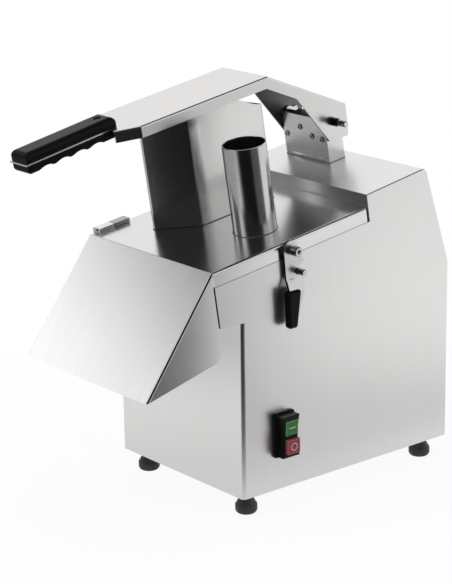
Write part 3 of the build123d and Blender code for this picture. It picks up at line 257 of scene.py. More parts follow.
@dataclass(frozen=True)
class BrushedSteel(Finish):
    """Stainless sheet with a grain along one direction, soft stains and fine scratches."""

    grain: tuple[float, float, float] = (700.0, 700.0, 9.0)
    turn: tuple[float, float, float] = (0.0, 0.0, 0.0)
    contrast: float = 0.10
    streaks: float = 0.06

    def fine(self, tree: ShaderTree) -> Channel:
        """The fine lines of the grain."""
        return tree.noise(tree.place(self.grain, self.turn), detail=3.0, rough=0.6)

    def tint(self, tree: ShaderTree, mix: Channel) -> Channel:
        """The steel's colour, from its dark to its light grain."""
        dark, light = shade(self.color, DARK_GRAIN), shade(self.color, LIGHT_GRAIN)
        return tree.blend(mix + 0.5, dark, light)

    def fill(self, tree: ShaderTree) -> None:
        """Grain in colour, gloss and relief, over broad soft clouds."""
        fine = self.fine(tree)
        broad = tree.noise(tree.place([g * BROAD_SHARE for g in self.grain], self.turn))
        clouds = tree.clouds(7.0)
        mix = (fine - 0.5) * self.contrast + (broad - 0.5) * self.streaks + (clouds - 0.5) * 0.10
        scratches = tree.noise(tree.place((260, 30, 260), (0.6, 0.4, 0.2)), 1.0, 4.0, 0.7)
        scratch = scratches.within(0.70, 0.78)
        gloss = fine * 0.10 + clouds * 0.06 + scratch * 0.08 + (self.roughness - 0.08)
        tree.surface(
            {
                "Base Color": self.tint(tree, mix),
                "Metallic": 1.0,
                "Roughness": gloss,
                "Normal": tree.bump(fine + broad * 0.5, FINE_RELIEF, 0.30),
            }
        )


@dataclass(frozen=True)
class TurnedSteel(Finish):
    """Turned or polished steel with faint rings along one axis."""

    rings: tuple[float, float, float] = (1200.0, 20.0, 20.0)

    def fill(self, tree: ShaderTree) -> None:
        """Fine rings and soft handling marks."""
        fine = tree.noise(tree.place(self.rings))
        marks = tree.clouds(60.0, 3.0)
        mix = fine * 0.5 + marks * 0.5
        tree.surface(
            {
                "Base Color": tree.blend(mix, shade(self.color, 0.8), shade(self.color, 1.15)),
                "Metallic": 1.0,
                "Roughness": marks * 0.10 + fine * 0.05 + (self.roughness - 0.07),
                "Normal": tree.bump(fine, TURNED_RELIEF, 0.25),
            }
        )


@dataclass(frozen=True)
class SheetLever(BrushedSteel):
    """Brushed plate whose edges carry painted shade: they are coloured dull black."""

    # painted shade: this edge colour stands for the shade on the plate's thickness
    edge: Color = (0.02, 0.02, 0.02)

    def fill(self, tree: ShaderTree) -> None:
        """Grain on the flat faces, painted shade (dull black) on the edges."""
        flat = tree.axis("Normal", "X").size().within(0.45, 0.85)
        fine = self.fine(tree)
        light = tree.blend(fine, shade(self.color, 0.86), self.color)
        tree.surface(
            {
                "Base Color": tree.blend(flat, self.edge, light),
                "Metallic": flat * 0.6 + 0.4,
                "Roughness": fine * 0.10 + flat * -0.12 + (self.roughness + 0.08),
                "Normal": tree.bump(fine, FINE_RELIEF, 0.30),
            }
        )


@dataclass(frozen=True)
class FoldedSheet(BrushedSteel):
    """Brushed sheet folded round the machine's middle, with painted shade on its faces turned
    inward.
    """

    node: str = "lever_arm"
    # painted shade: this colour darkens the cheeks' inner faces and the faces turned down
    inside: Color = (0.17, 0.17, 0.17)

    def fill(self, tree: ShaderTree) -> None:
        """Grain and soft clouds on the outside, painted shade on the faces turned inward and
        down.
        """
        low, high = (Vector(corner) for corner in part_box(self.node))
        side = tree.axis("Object", "X") - (low.x + high.x) / 2
        shaded_cheeks = (side * tree.axis("Normal", "X")).within(-0.002, -0.014)
        inner = shaded_cheeks.highest(tree.axis("Normal", "Z").within(-0.3, -0.6))
        fine = self.fine(tree)
        mix = (fine - 0.5) * self.contrast + (tree.clouds(7.0) - 0.5) * 0.12
        tree.surface(
            {
                "Base Color": tree.blend(inner, self.tint(tree, mix), self.inside),
                "Metallic": 1.0,
                "Roughness": fine * 0.10 + inner * 0.12 + (self.roughness - 0.05),
                "Normal": tree.bump(fine, FINE_RELIEF, 0.30),
            }
        )


@dataclass(frozen=True)
class EndedPin(Finish):
    """A pin that is blackened where it bears and bright at its free end."""

    node: str = "pivot_pin"
    bright: float = 0.0125
    fade: float = 0.0006
    black: Color = (0.07, 0.07, 0.07)

    def fill(self, tree: ShaderTree) -> None:
        """Dark up to a length from the end, bright at the tip."""
        start = max(corner[0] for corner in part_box(self.node)) - self.bright
        end = tree.axis("Object", "X").within(start - self.fade, start)
        marks = tree.noise(tree.place((900, 30, 30)), detail=3.0)
        light = tree.blend(marks, shade(self.color, 0.8), self.color)
        tree.surface(
            {
                "Base Color": tree.blend(end, self.black, light),
                "Metallic": 1.0,
                "Roughness": marks * 0.10 + (self.roughness - 0.05),
                "Normal": tree.bump(marks, TURNED_RELIEF, 0.25),
            }
        )


@dataclass(frozen=True)
class CastMetal(Finish):
    """Cast aluminium with a fine sandy skin."""

    def fill(self, tree: ShaderTree) -> None:
        """Sandy relief with darker pits."""
        sand = tree.clouds(900.0, 3.0)
        mix = sand * 0.5 + tree.clouds(30.0) * 0.5
        tree.surface(
            {
                "Base Color": tree.blend(mix, shade(self.color, 0.75), self.color),
                "Metallic": 1.0,
                "Roughness": sand * 0.15 + (self.roughness - 0.07),
                "Normal": tree.bump(sand, 0.00008, 0.5),
            }
        )


@dataclass(frozen=True)
class Moulded(Finish):
    """Moulded plastic or rubber with a fine skin grain and worn patches."""

    grain: float = 1500.0
    relief: float = 0.00003
    wear: float = 0.25
    gloss: float = 0.5

    def fill(self, tree: ShaderTree) -> None:
        """Skin grain, dull handling patches and slight colour variation."""
        skin = tree.clouds(self.grain)
        patches = tree.clouds(55.0, 3.0, 0.6)
        light = shade(self.color, 1 + self.wear, 0.004)
        dark = shade(self.color, 1 - 0.3 * self.wear)
        tree.surface(
            {
                "Base Color": tree.blend(patches * 0.8 + skin * 0.2, dark, light),
                "Metallic": 0.0,
                "Roughness": patches * 0.14 + skin * 0.08 + (self.roughness - 0.11),
                "Specular IOR Level": self.gloss,
                "Normal": tree.bump(skin, self.relief, 0.4),
            }
        )


@dataclass(frozen=True)
class PushButton(Moulded):
    """Moulded button with a moulded-in mark: a bar for on, a ring for off."""

    node: str = "start_button"
    ring: bool = False
    reach: float = 0.0044
    line: float = 0.00045
    fade: float = 0.0003
    pale: Color = (0.70, 0.66, 0.64)

    def fill(self, tree: ShaderTree) -> None:
        """The button's colour with a painted highlight on its rim, and the mark in the middle.
        """
        low, high = (Vector(corner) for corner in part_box(self.node))
        middle, half = (low + high) / 2, (high - low) / 2
        side = (tree.axis("Object", "Y") - middle.y).size()
        height = (tree.axis("Object", "Z") - middle.z).size()
        if self.ring:
            square = side * side + height * height
            off = (square.math("SQRT", square) - self.reach).size()
        else:
            off = height.highest(side - self.reach)
        mark = 1.0 - off.within(self.line, self.line + self.fade)
        # painted highlight: the rim is lightened as if its bevel caught the light
        rim = (side - half.y).highest(height - half.z).within(-0.0019, -0.0007)
        patches = tree.clouds(140.0, 3.0, 0.6)
        plain = tree.blend(patches, shade(self.color, 0.72), self.color)
        rim_highlighted = tree.blend(rim * 0.55, plain, shade(self.color, 1.7, 0.03))
        tree.surface(
            {
                "Base Color": tree.blend(mark * 0.55, rim_highlighted, self.pale),
                "Metallic": 0.0,
                "Roughness": patches * 0.12 + (self.roughness - 0.06),
                "Specular IOR Level": self.gloss,
                "Normal": tree.bump(mark, 0.0001, 0.3),
            }
        )


@dataclass(frozen=True)
class Paint(Finish):
    """Sprayed paint with a light orange-peel."""

    def fill(self, tree: ShaderTree) -> None:
        """Orange-peel relief and dusty patches."""
        peel = tree.clouds(260.0, 1.0)
        dust = tree.clouds(12.0, 4.0, 0.6)
        tree.surface(
            {
                "Base Color": tree.blend(dust, self.color, shade(self.color, 1.25, 0.01)),
                "Metallic": 0.0,
                "Roughness": dust * 0.2 + (self.roughness - 0.1),
                "Coat Weight": 0.15,
                "Normal": tree.bump(peel, 0.00006, 0.35),
            }
        )


STEEL = (0.835, 0.820, 0.812)
# painted light: the hood, lid and hopper are the body's stainless, set lighter or darker per
# part for how each is lit; the hood lighter, the lid darker
BODY_STEEL = BrushedSteel("body_steel", STEEL, 0.31, (700.0, 700.0, 9.0))
LIT_HOOD_STEEL = BrushedSteel("lit_hood_steel", (0.95, 0.95, 0.95), 0.18, (700.0, 14.0, 14.0))
SHADED_LID_STEEL = BrushedSteel(
    "shaded_lid_steel", (0.76, 0.76, 0.755), 0.20, (12.0, 600.0, 600.0), (0.148, 0, 0)
)
HOPPER_STEEL = BrushedSteel("hopper_steel", (0.80, 0.795, 0.785), 0.20, (600.0, 600.0, 8.0))
ARM_STEEL = FoldedSheet("arm_steel", (0.765, 0.750, 0.740), 0.25, (700.0, 9.0, 500.0))
TUBE_STEEL = TurnedSteel("tube_steel", (0.60, 0.60, 0.60), 0.17, (30.0, 30.0, 900.0))
BRACKET_STEEL = BrushedSteel("bracket_steel", (0.80, 0.79, 0.78), 0.26, (9.0, 700.0, 700.0))
PIN_STEEL = TurnedSteel("pin_steel", (0.56, 0.555, 0.54), 0.18)
SCREW_STEEL = TurnedSteel("screw_steel", (0.50, 0.50, 0.49), 0.24)
DARK_STEEL = BrushedSteel("dark_steel", (0.42, 0.42, 0.42), 0.30, (500.0, 500.0, 20.0))
# painted shade: the pivot block is coloured near black for the shade under the arm
SHADED_BLOCK_STEEL = BrushedSteel("shaded_block_steel", (0.12, 0.12, 0.12), 0.42, (500.0, 500.0, 20.0))
# dark weld beads at the tube and hopper, and painted shade at the bracket's foot
WELD_AND_GAP_SHADE_STEEL = TurnedSteel("weld_and_gap_shade_steel", (0.22, 0.22, 0.22), 0.40, (400.0, 400.0, 400.0))
LEVER_STEEL = SheetLever("lever_steel", (0.74, 0.74, 0.73), 0.30, (500.0, 500.0, 20.0))
ENDED_STEEL = EndedPin("ended_steel", (0.70, 0.70, 0.68), 0.22)
BLADE_STEEL = TurnedSteel("blade_steel", (0.66, 0.66, 0.66), 0.22, (300.0, 300.0, 30.0))
BOWL_METAL = CastMetal("bowl_metal", (0.60, 0.61, 0.62), 0.45)
PULLEY_METAL = TurnedSteel("pulley_metal", (0.64, 0.65, 0.66), 0.3, (300.0, 300.0, 300.0))
FOOT_RUBBER = Moulded("foot_rubber", (0.018, 0.018, 0.019), 0.50, 1100.0, 0.00006)
# painted shade: a near-black strip put in the gap between the chamber and the hood
GAP_SHADE_STRIP = Moulded("gap_shade_strip", (0.006, 0.006, 0.006), 0.70, gloss=0.1)
BELT_RUBBER = Moulded("belt_rubber", (0.015, 0.015, 0.015), 0.7)
GRIP_PLASTIC = Moulded("grip_plastic", (0.003, 0.003, 0.003), 0.22, 2200.0, 0.00001, gloss=0.07)
SWITCH_PLASTIC = Moulded("switch_plastic", (0.004, 0.004, 0.004), 0.32, 1600.0, gloss=0.15)
START_GREEN = PushButton("start_green", (0.035, 0.150, 0.040), 0.32, gloss=0.25)
STOP_RED = PushButton(
    "stop_red", (0.22, 0.040, 0.050), 0.32, gloss=0.25, node="stop_button", ring=True
)
MOTOR_PAINT = Paint("motor_paint", (0.12, 0.13, 0.14), 0.45)
PALE_PLASTIC = Moulded("pale_plastic", (0.62, 0.62, 0.60), 0.5)

DRESSING: dict[Finish, tuple[str, ...]] = {
    BODY_STEEL: ("body_shell", "base_plate", "rear_cover"),
    LIT_HOOD_STEEL: ("hood",),
    SHADED_LID_STEEL: ("lid",),
    HOPPER_STEEL: ("hopper", "pusher_stem", "pusher_plate"),
    ARM_STEEL: ("lever_arm",),
    TUBE_STEEL: ("feed_tube",),
    BRACKET_STEEL: ("arm_bracket", "hinge_front_lid", "hinge_rear_lid"),
    SHADED_BLOCK_STEEL: ("pivot_block",),
    DARK_STEEL: ("hinge_front_body", "hinge_rear_body"),
    LEVER_STEEL: ("latch_lever",),
    ENDED_STEEL: ("pivot_pin",),
    PIN_STEEL: (
        "latch_bolt",
        "latch_stud",
        "latch_washer",
        "drive_shaft",
        "motor_shaft",
        "hinge_front_pin",
        "hinge_rear_pin",
    ),
    SCREW_STEEL: (
        "base_screws",
        "rear_cover_screws",
        "grip_screws",
        "bracket_screws",
        "blade_screws",
        "bowl_bolts",
        "upper_bearing",
        "lower_bearing",
    ),
    BLADE_STEEL: ("slicing_disc", "disc_blade", "ejector"),
    BOWL_METAL: ("bowl", "bearing_housing"),
    PULLEY_METAL: ("large_pulley", "motor_pulley"),
    FOOT_RUBBER: ("foot_front_left", "foot_front_right", "foot_rear_left", "foot_rear_right"),
    BELT_RUBBER: ("drive_belt",),
    GRIP_PLASTIC: ("grip_upper", "grip_lower", "latch_grip"),
    SWITCH_PLASTIC: ("switch_housing", "lid_switch", "cable_gland"),
    START_GREEN: ("start_button",),
    STOP_RED: ("stop_button",),
    MOTOR_PAINT: ("motor", "motor_bracket"),
    PALE_PLASTIC: ("run_capacitor",),
}


@dataclass(frozen=True)
class Deck:
    """The tilted cutting deck; its front and height (mm) are seen from the housing."""

    tilt: float = math.radians(8.5)
    front: float = -211.7
    height: float = 318.1

    def matrix(self) -> Matrix:
        """The deck's frame: X across, Y back, Z out of it, in metres."""
        cos_t, sin_t = math.cos(self.tilt), math.sin(self.tilt)
        turned = Matrix(((1, 0, 0), (0, cos_t, -sin_t), (0, sin_t, cos_t))).to_4x4()
        corner = housing_middle() + Vector((0, self.front * MM, self.height * MM))
        return Matrix.Translation(corner) @ turned


DECK = Deck()


class Workshop:
    """Shared ways to start, finish and register a mesh piece."""

    @staticmethod
    def lathe(profile: Sequence[tuple[float, float]], segments: int = 96) -> bmesh.types.BMesh:
        """A turned shape.

        Args:
            profile: (radius, height) points in mm, round a closed section or from pole to pole.
            segments: how many steps the full turn has.

        Returns:
            The turned mesh about Z.
        """
        work = bmesh.new()
        points = [work.verts.new((r * MM, 0, z * MM)) for r, z in profile]
        edges = [work.edges.new(pair) for pair in zip(points, points[1:])]
        closed = all(r > 0 for r, _ in profile)
        if closed:
            edges.append(work.edges.new((points[-1], points[0])))
        bmesh.ops.spin(
            work,
            geom=points + edges,
            axis=(0, 0, 1),
            cent=(0, 0, 0),
            angle=math.tau,
            steps=segments,
            use_merge=True,
        )
        bmesh.ops.remove_doubles(work, verts=work.verts, dist=0.00001)
        bmesh.ops.recalc_face_normals(work, faces=work.faces)
        return work

    @staticmethod
    def block(size: Sequence[float], bevel: float, segments: int = 3) -> bmesh.types.BMesh:
        """A box (mm) about the origin with all its edges rounded."""
        work = bmesh.new()
        bmesh.ops.create_cube(work, size=1.0)
        bmesh.ops.scale(work, vec=[v * MM for v in size], verts=work.verts)
        if bevel > 0:
            Workshop.round(work, list(work.edges), bevel, segments)
        return work

    @staticmethod
    def round(work: bmesh.types.BMesh, edges: list, radius: float, segments: int = 3) -> None:
        """Rounds edges by a radius in mm."""
        bmesh.ops.bevel(
            work,
            geom=edges,
            offset=radius * MM,
            offset_type="OFFSET",
            segments=segments,
            profile=0.5,
            affect="EDGES",
            material=-1,
            clamp_overlap=True,
        )

    @staticmethod
    def join(target: bmesh.types.BMesh, part: bmesh.types.BMesh) -> None:
        """Adds a copy of one mesh to another and frees the first."""
        mesh = bpy.data.meshes.new("joined")
        part.to_mesh(mesh)
        part.free()
        target.from_mesh(mesh)
        bpy.data.meshes.remove(mesh)

    @staticmethod
    def register(
        name: str,
        work: bmesh.types.BMesh,
        finish: Finish,
        body: Body,
        slot: str,
        place: Matrix | None = None,
        replaces: Iterable[str] = (),
        smooth: float = 40.0,
    ) -> bpy.types.Object:
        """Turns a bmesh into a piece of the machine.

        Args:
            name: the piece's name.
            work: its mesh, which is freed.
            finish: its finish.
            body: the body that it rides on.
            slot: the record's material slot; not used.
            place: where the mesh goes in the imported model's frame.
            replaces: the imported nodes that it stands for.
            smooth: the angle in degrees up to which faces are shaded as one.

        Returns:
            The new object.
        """
        if place is not None:
            work.transform(place)
        mesh = bpy.data.meshes.new(name)
        work.to_mesh(mesh)
        work.free()
        mesh.materials.append(finish.material())
        mesh.shade_smooth()
        mesh.set_sharp_from_angle(angle=math.radians(smooth))
        piece = bpy.data.objects.new(name, mesh)
        bpy.context.scene.collection.objects.link(piece)
        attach(piece, body.value)
        nodes = list(replaces)
        if nodes:
            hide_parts(*nodes)
        LOG.info("%s: %d faces on %s", name, len(mesh.polygons), body.value)
        return piece


def facing(origin: Sequence[float], normal: Sequence[float], across: Sequence[float]) -> Matrix:
    """A frame at a point, with Z along a normal and X near a direction."""
    z_axis = Vector(normal).normalized()
    y_axis = z_axis.cross(Vector(across)).normalized()
    x_axis = y_axis.cross(z_axis)
    turned = Matrix((x_axis, y_axis, z_axis)).transposed().to_4x4()
    return Matrix.Translation(Vector(origin)) @ turned


@dataclass
class Feet:
    """Rubber feet, turned, with a flared band."""

    inset: float = 23.3
    half_width: float = 120.0
    half_depth: float = 170.0
    height: float = 27.5

    def build(self) -> None:
        """Makes the four feet in place of the plain ones."""
        profile = [
            (0, 0.6),
            (9.6, 0.6),
            (9.9, 0),
            (11.0, 0),
            (12.6, 1.6),
            (13.6, 3.6),
            (13.6, 10.2),
            (13.2, 11.2),
            (11.6, 13.6),
            (9.4, 17.6),
            (8.6, 20.0),
            (8.6, self.height),
            (0, self.height),
        ]
        middle = housing_middle()
        sides = {"front": -1, "rear": 1}
        for along, step in sides.items():
            for across, way in {"left": -1, "right": 1}.items():
                name = f"foot_{along}_{across}"
                x = way * (self.half_width - self.inset) * MM
                y = step * (self.half_depth - self.inset) * MM
                Workshop.register(
                    f"{name}_turned",
                    Workshop.lathe(profile, 64),
                    FOOT_RUBBER,
                    Body.MACHINE,
                    "foot_rubber",
                    Matrix.Translation(middle + Vector((x, y, 0))),
                    [name],
                    35,
                )


@dataclass
class FeedTube:
    """The round tube for long vegetables, with a weld line at its foot."""

    radius: float = 26.75
    wall: float = 1.5
    height: float = 109.6
    across: float = 53.9
    back: float = 121.3

    def build(self) -> None:
        """Makes the tube and its weld line."""
        inner = self.radius - self.wall
        profile = [
            (self.radius, 0),
            (self.radius, 3),
            (self.radius, self.height * 0.5),
            (self.radius, self.height - 0.5),
            (self.radius - 0.25, self.height - 0.1),
            (self.radius - 0.6, self.height),
            (inner + 0.6, self.height),
            (inner + 0.25, self.height - 0.1),
            (inner, self.height - 0.5),
            (inner, self.height * 0.5),
            (inner, 3),
            (inner, 0),
        ]
        place = DECK.matrix() @ Matrix.Translation((self.across * MM, self.back * MM, 0))
        Workshop.register(
            "feed_tube_polished",
            Workshop.lathe(profile, 160),
            TUBE_STEEL,
            Body.MACHINE,
            "polished_stainless",
            place,
            ["feed_tube"],
            30,
        )
        bead = [
            (self.radius - 0.3, 0.0),
            (self.radius + 0.8, 0.0),
            (self.radius + 0.6, 0.3),
            (self.radius + 0.3, 0.6),
            (self.radius - 0.3, 1.0),
        ]
        Workshop.register(
            "feed_tube_weld",
            Workshop.lathe(bead, 120),
            WELD_AND_GAP_SHADE_STEEL,
            Body.MACHINE,
            "polished_stainless",
            place,
            smooth=60,
        )


@dataclass
class Hopper:
    """The half-moon hopper, bent from one sheet and welded to the lid."""

    radius: float = 90.0
    wall: float = 1.5
    height: float = 138.6
    side: float = 14.0
    oblique: float = 58.0
    front: float = 27.3
    back: float = 121.3
    bend: float = 3.0
    dip: float = 16.5
    dip_length: float = 46.0
    dip_steps: int = 24
    weld: float = 0.8
    round_steps: int = 200
    bend_steps: int = 6
    corner: float = math.radians(12)

    def rim(self, back: float) -> float:
        """The height of the rim at a distance back along the deck (mm)."""
        start = self.back + self.radius - self.dip_length
        step = max(0.0, min(1.0, (back - start) / self.dip_length))
        return self.height - self.dip * (step * step * (3 - 2 * step))

    def outline(self) -> bmesh.types.BMesh:
        """The hopper's outer line on the deck, as a closed ring of edges."""
        work = bmesh.new()
        centre = Matrix.Translation((0, self.back * MM, 0))
        bmesh.ops.create_circle(
            work,
            cap_ends=True,
            segments=self.round_steps,
            radius=self.radius * MM,
            matrix=centre,
        )
        reach = math.sqrt(self.radius**2 - self.oblique**2)
        start = Vector((-self.oblique * MM, (self.back - reach) * MM, 0))
        end = Vector((-self.side * MM, (self.back - self.front) * MM, 0))
        along = (end - start).normalized()
        cuts = (
            (Vector((-self.side * MM, 0, 0)), Vector((1, 0, 0))),
            (start, Vector((along.y, -along.x, 0))),
        )
        for point, normal in cuts:
            geometry = list(work.verts) + list(work.edges) + list(work.faces)
            bmesh.ops.bisect_plane(
                work, geom=geometry, plane_co=point, plane_no=normal, clear_outer=True
            )
        return work

    def sheet(self, height: float) -> bmesh.types.BMesh:
        """The hopper's outside up to a height (mm), its corners bent and its normals out."""
        work = self.outline()
        bmesh.ops.dissolve_limit(
            work, angle_limit=0.005, verts=list(work.verts), edges=list(work.edges)
        )
        sharp = [v for v in work.verts if self.turn(v) > self.corner]
        bmesh.ops.bevel(
            work,
            geom=sharp,
            offset=self.bend * MM,
            offset_type="OFFSET",
            segments=self.bend_steps,
            profile=0.5,
            affect="VERTICES",
            material=-1,
        )
        cap = list(work.faces)
        ring = [e for e in work.edges if len(e.link_faces) == 1]
        made = bmesh.ops.extrude_edge_only(work, edges=ring)["geom"]
        bmesh.ops.delete(work, geom=cap, context="FACES")
        rim = {v for v in made if isinstance(v, bmesh.types.BMVert)}
        bmesh.ops.translate(work, vec=(0, 0, height * MM), verts=list(rim))
        centre = Vector((-self.radius / 2, self.back, height / 2)) * MM
        bmesh.ops.recalc_face_normals(work, faces=work.faces)
        wall = max(work.faces, key=lambda face: face.calc_center_median().y)
        if (wall.calc_center_median() - centre).dot(wall.normal) < 0:
            bmesh.ops.reverse_faces(work, faces=work.faces)
        return work

    def build(self) -> None:
        """Makes the wall with its bent corners and its dipping rim, and the weld at its foot."""
        work = self.sheet(self.height)
        start = (self.back + self.radius - self.dip_length) * MM
        for step in range(self.dip_steps + 1):
            place = (0, start + step * self.dip_length * MM / self.dip_steps, 0)
            geometry = list(work.verts) + list(work.edges) + list(work.faces)
            bmesh.ops.bisect_plane(work, geom=geometry, plane_co=place, plane_no=(0, 1, 0))
        for vert in work.verts:
            if vert.co.z > 0.5 * self.height * MM:
                vert.co.z = self.rim(vert.co.y / MM) * MM
        bmesh.ops.solidify(work, geom=list(work.faces), thickness=self.wall * MM)
        Workshop.register(
            "hopper_wall",
            work,
            HOPPER_STEEL,
            Body.MACHINE,
            "brushed_stainless",
            DECK.matrix(),
            ["hopper"],
            30,
        )
        bead = self.sheet(self.weld)
        bmesh.ops.solidify(bead, geom=list(bead.faces), thickness=-self.weld * MM)
        Workshop.register(
            "hopper_weld",
            bead,
            WELD_AND_GAP_SHADE_STEEL,
            Body.MACHINE,
            "brushed_stainless",
            DECK.matrix(),
        )

    @staticmethod
    def turn(vert: bmesh.types.BMVert) -> float:
        """How far an outline turns at a vertex, in radians."""
        if len(vert.link_edges) != 2:
            return 0.0
        first, second = (e.other_vert(vert).co - vert.co for e in vert.link_edges)
        return math.pi - first.angle(second, math.pi)


@dataclass
class GapShade:
    """Dark strips between the chamber's front and the cheeks of the hood: painted shade standing
    in the gap.
    """

    gap: float = 2.1
    width: float = 2.6
    inset: float = 1.0
    top: float = -18.4
    low: float = -69.5
    half_width: float = 120.0
    play: float = 0.1
    bevel: float = 0.4

    def build(self) -> None:
        """Makes one strip on each side."""
        work = bmesh.new()
        for side in (-1, 1):
            size = (self.width, self.gap - self.play, self.top - self.low)
            strip = Workshop.block(size, self.bevel, 2)
            x = side * (self.half_width - self.inset - self.width / 2)
            middle = Vector((x, -self.gap / 2, (self.top + self.low) / 2)) * MM
            strip.transform(Matrix.Translation(middle))
            Workshop.join(work, strip)
        Workshop.register(
            "hood_gap_shade", work, GAP_SHADE_STRIP, Body.MACHINE, "foot_rubber", DECK.matrix()
        )


@dataclass
class BracketFootShade:
    """A dark line round the foot of the arm's bracket: painted shade in the gap under its plate.
    """

    node: str = "arm_bracket"
    bead: float = 0.6
    slope: float = math.radians(10)

    def build(self) -> None:
        """Makes the line along the front and both sides."""
        up = Vector((0, -math.sin(self.slope), math.cos(self.slope)))
        place = facing((0, 0, 0), up, (1, 0, 0))
        source = bpy.data.objects[self.node]
        points = [place.inverted() @ source.matrix_world @ v.co for v in source.data.vertices]
        low = Vector(min(p[axis] for p in points) for axis in range(3)) / MM
        high = Vector(max(p[axis] for p in points) for axis in range(3)) / MM
        middle = (low + high) / 2
        half = self.bead / 2
        strips = (
            ((high.x - low.x + 2 * self.bead, self.bead), (middle.x, low.y - half)),
            ((self.bead, high.y - low.y), (low.x - half, middle.y)),
            ((self.bead, high.y - low.y), (high.x + half, middle.y)),
        )
        # painted shade: dark strips along the front and sides of the bracket's foot
        work = bmesh.new()
        for (wide, long), (x, y) in strips:
            strip = Workshop.block((wide, long, self.bead), 0)
            strip.transform(Matrix.Translation(Vector((x, y, low.z + half)) * MM))
            Workshop.join(work, strip)
        Workshop.register(
            "bracket_foot_shade", work, WELD_AND_GAP_SHADE_STEEL, Body.MACHINE, "brushed_stainless", place
        )


@dataclass(frozen=True)
class Screws:
    """Domed socket screws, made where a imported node's plain ones stand."""

    node: str
    way: tuple[float, float, float]
    body: Body = Body.MACHINE
    slot: str = "screw_steel"

    def solids(self) -> list[list[Vector]]:
        """The corner points of each separate solid of the node, from left to right."""
        source = bpy.data.objects[self.node]
        work = bmesh.new()
        work.from_mesh(source.data)
        bmesh.ops.remove_doubles(work, verts=work.verts, dist=0.000002)
        work.verts.ensure_lookup_table()
        seen: set[int] = set()
        found = []
        for first in work.verts:
            if first.index in seen:
                continue
            seen.add(first.index)
            waiting, solid = [first], []
            while waiting:
                vert = waiting.pop()
                solid.append(source.matrix_world @ vert.co)
                for edge in vert.link_edges:
                    other = edge.other_vert(vert)
                    if other.index not in seen:
                        seen.add(other.index)
                        waiting.append(other)
            found.append(solid)
        work.free()
        return found

    def screw(self, solid: list[Vector]) -> bmesh.types.BMesh:
        """One screw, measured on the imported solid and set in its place."""
        out = Vector(self.way).normalized()
        heights = [point.dot(out) for point in solid]
        top, low = max(heights), min(heights)
        crown = [p for p, height in zip(solid, heights) if top - height < 0.0001]
        centre = sum(crown, Vector()) / len(crown)
        reach = [(point - centre - out * (h - top)).length for point, h in zip(solid, heights)]
        head = max(reach)
        seat = min(h for h, r in zip(heights, reach) if r > 0.9 * head)
        shank = min(reach) if min(reach) > 0.0005 else 0.5 * head
        high, long, wide = (top - seat) / MM, (seat - low) / MM, head / MM
        profile = [
            (0, 0.25 * high),
            (0.44 * wide, 0.30 * high),
            (0.47 * wide, 0.94 * high),
            (0.56 * wide, high),
            (0.76 * wide, 0.92 * high),
            (0.92 * wide, 0.66 * high),
            (wide, 0.30 * high),
            (wide, 0),
            (shank / MM, 0),
            (shank / MM, -long),
            (0, -long),
        ]
        work = Workshop.lathe(profile, 32)
        work.transform(facing(centre + out * (seat - top), out, (1, 0, 0)))
        return work

    def build(self) -> None:
        """Makes the whole set as one piece."""
        work = bmesh.new()
        for solid in self.solids():
            Workshop.join(work, self.screw(solid))
        name = f"{self.node}_domed"
        Workshop.register(name, work, SCREW_STEEL, self.body, self.slot, None, [self.node], 30)


@dataclass(frozen=True)
class Zone:
    """A soft-edged part of the floor or the sky, reached along a way."""

    way: Way
    start: float
    full: float
    share: float = 1.0

    def mask(self, tree: ShaderTree, where: Channel) -> Channel:
        """From 0 outside the zone to its share inside.

        Args:
            tree: the tree to build in.
            where: a heading, or a place on the floor in metres.

        Returns:
            The share at that heading or place.
        """
        along = tree.node(
            "ShaderNodeVectorMath",
            {"operation": "DOT_PRODUCT"},
            {0: where, 1: tuple(Vector(self.way).normalized())},
            "Value",
        )
        inside = along.within(self.start, self.full)
        return inside if self.share == 1.0 else inside * self.share


@dataclass(frozen=True)
class Lamp:
    """A square area lamp that lights but isn't mirrored."""

    name: str
    spot: Way
    size: float
    power: float

    def build(self, aim: Vector) -> None:
        """Sets the lamp up, facing a point."""
        data = bpy.data.lights.new(self.name, "AREA")
        data.shape = "SQUARE"
        data.size = self.size
        data.energy = self.power
        lamp = bpy.data.objects.new(self.name, data)
        lamp.matrix_world = facing(self.spot, Vector(self.spot) - aim, (0, 0, 1))
        lamp.visible_glossy = False
        bpy.context.scene.collection.objects.link(lamp)


SKY_DARK = (
    Zone((0.60, -0.62, 0.50), 0.55, 0.78),
    Zone((0.80, 0.25, 0.60), 0.91, 0.97, 0.45),
    Zone((-0.663, -0.736, 0.139), 0.93, 0.965, 0.90),
    Zone((0.15, 0.50, 0.85), 0.78, 0.94),
    Zone((-0.62, -0.40, 0.68), 0.953, 0.974, 0.90),
)
SOFTBOX = Zone((-0.80, -0.47, 0.36), 0.980, 0.998)
AISLE = Zone((0.78, -0.62, 0.0), 0.55, 0.90)
BESIDE = Zone((0.633, -0.774, 0.0), 0.11, 0.23)
BESIDE_AHEAD = Zone((1, 0, 0), 0.15, 0.40, 0.90)
UNDER_HOOD = Zone((-0.64, -0.76, 0.0), 0.45, 0.75, 0.55)
OFF_SIDE = Zone((0.80, 0.60, 0.0), 0.40, 0.80)
OFF_SIDE_AHEAD = Zone((1, 0, 0), 0.12, 0.25, 0.34)
FAR_SIDE = Zone((1, 0, 0), 0.60, 0.95)
LAMPS = (
    Lamp("key", (-0.6, -2.2, 1.9), 1.6, 30.0),
    Lamp("side", (2.4, 0.3, 1.2), 1.4, 16.0),
    Lamp("top", (0.0, 0.3, 2.4), 1.8, 18.0),
)


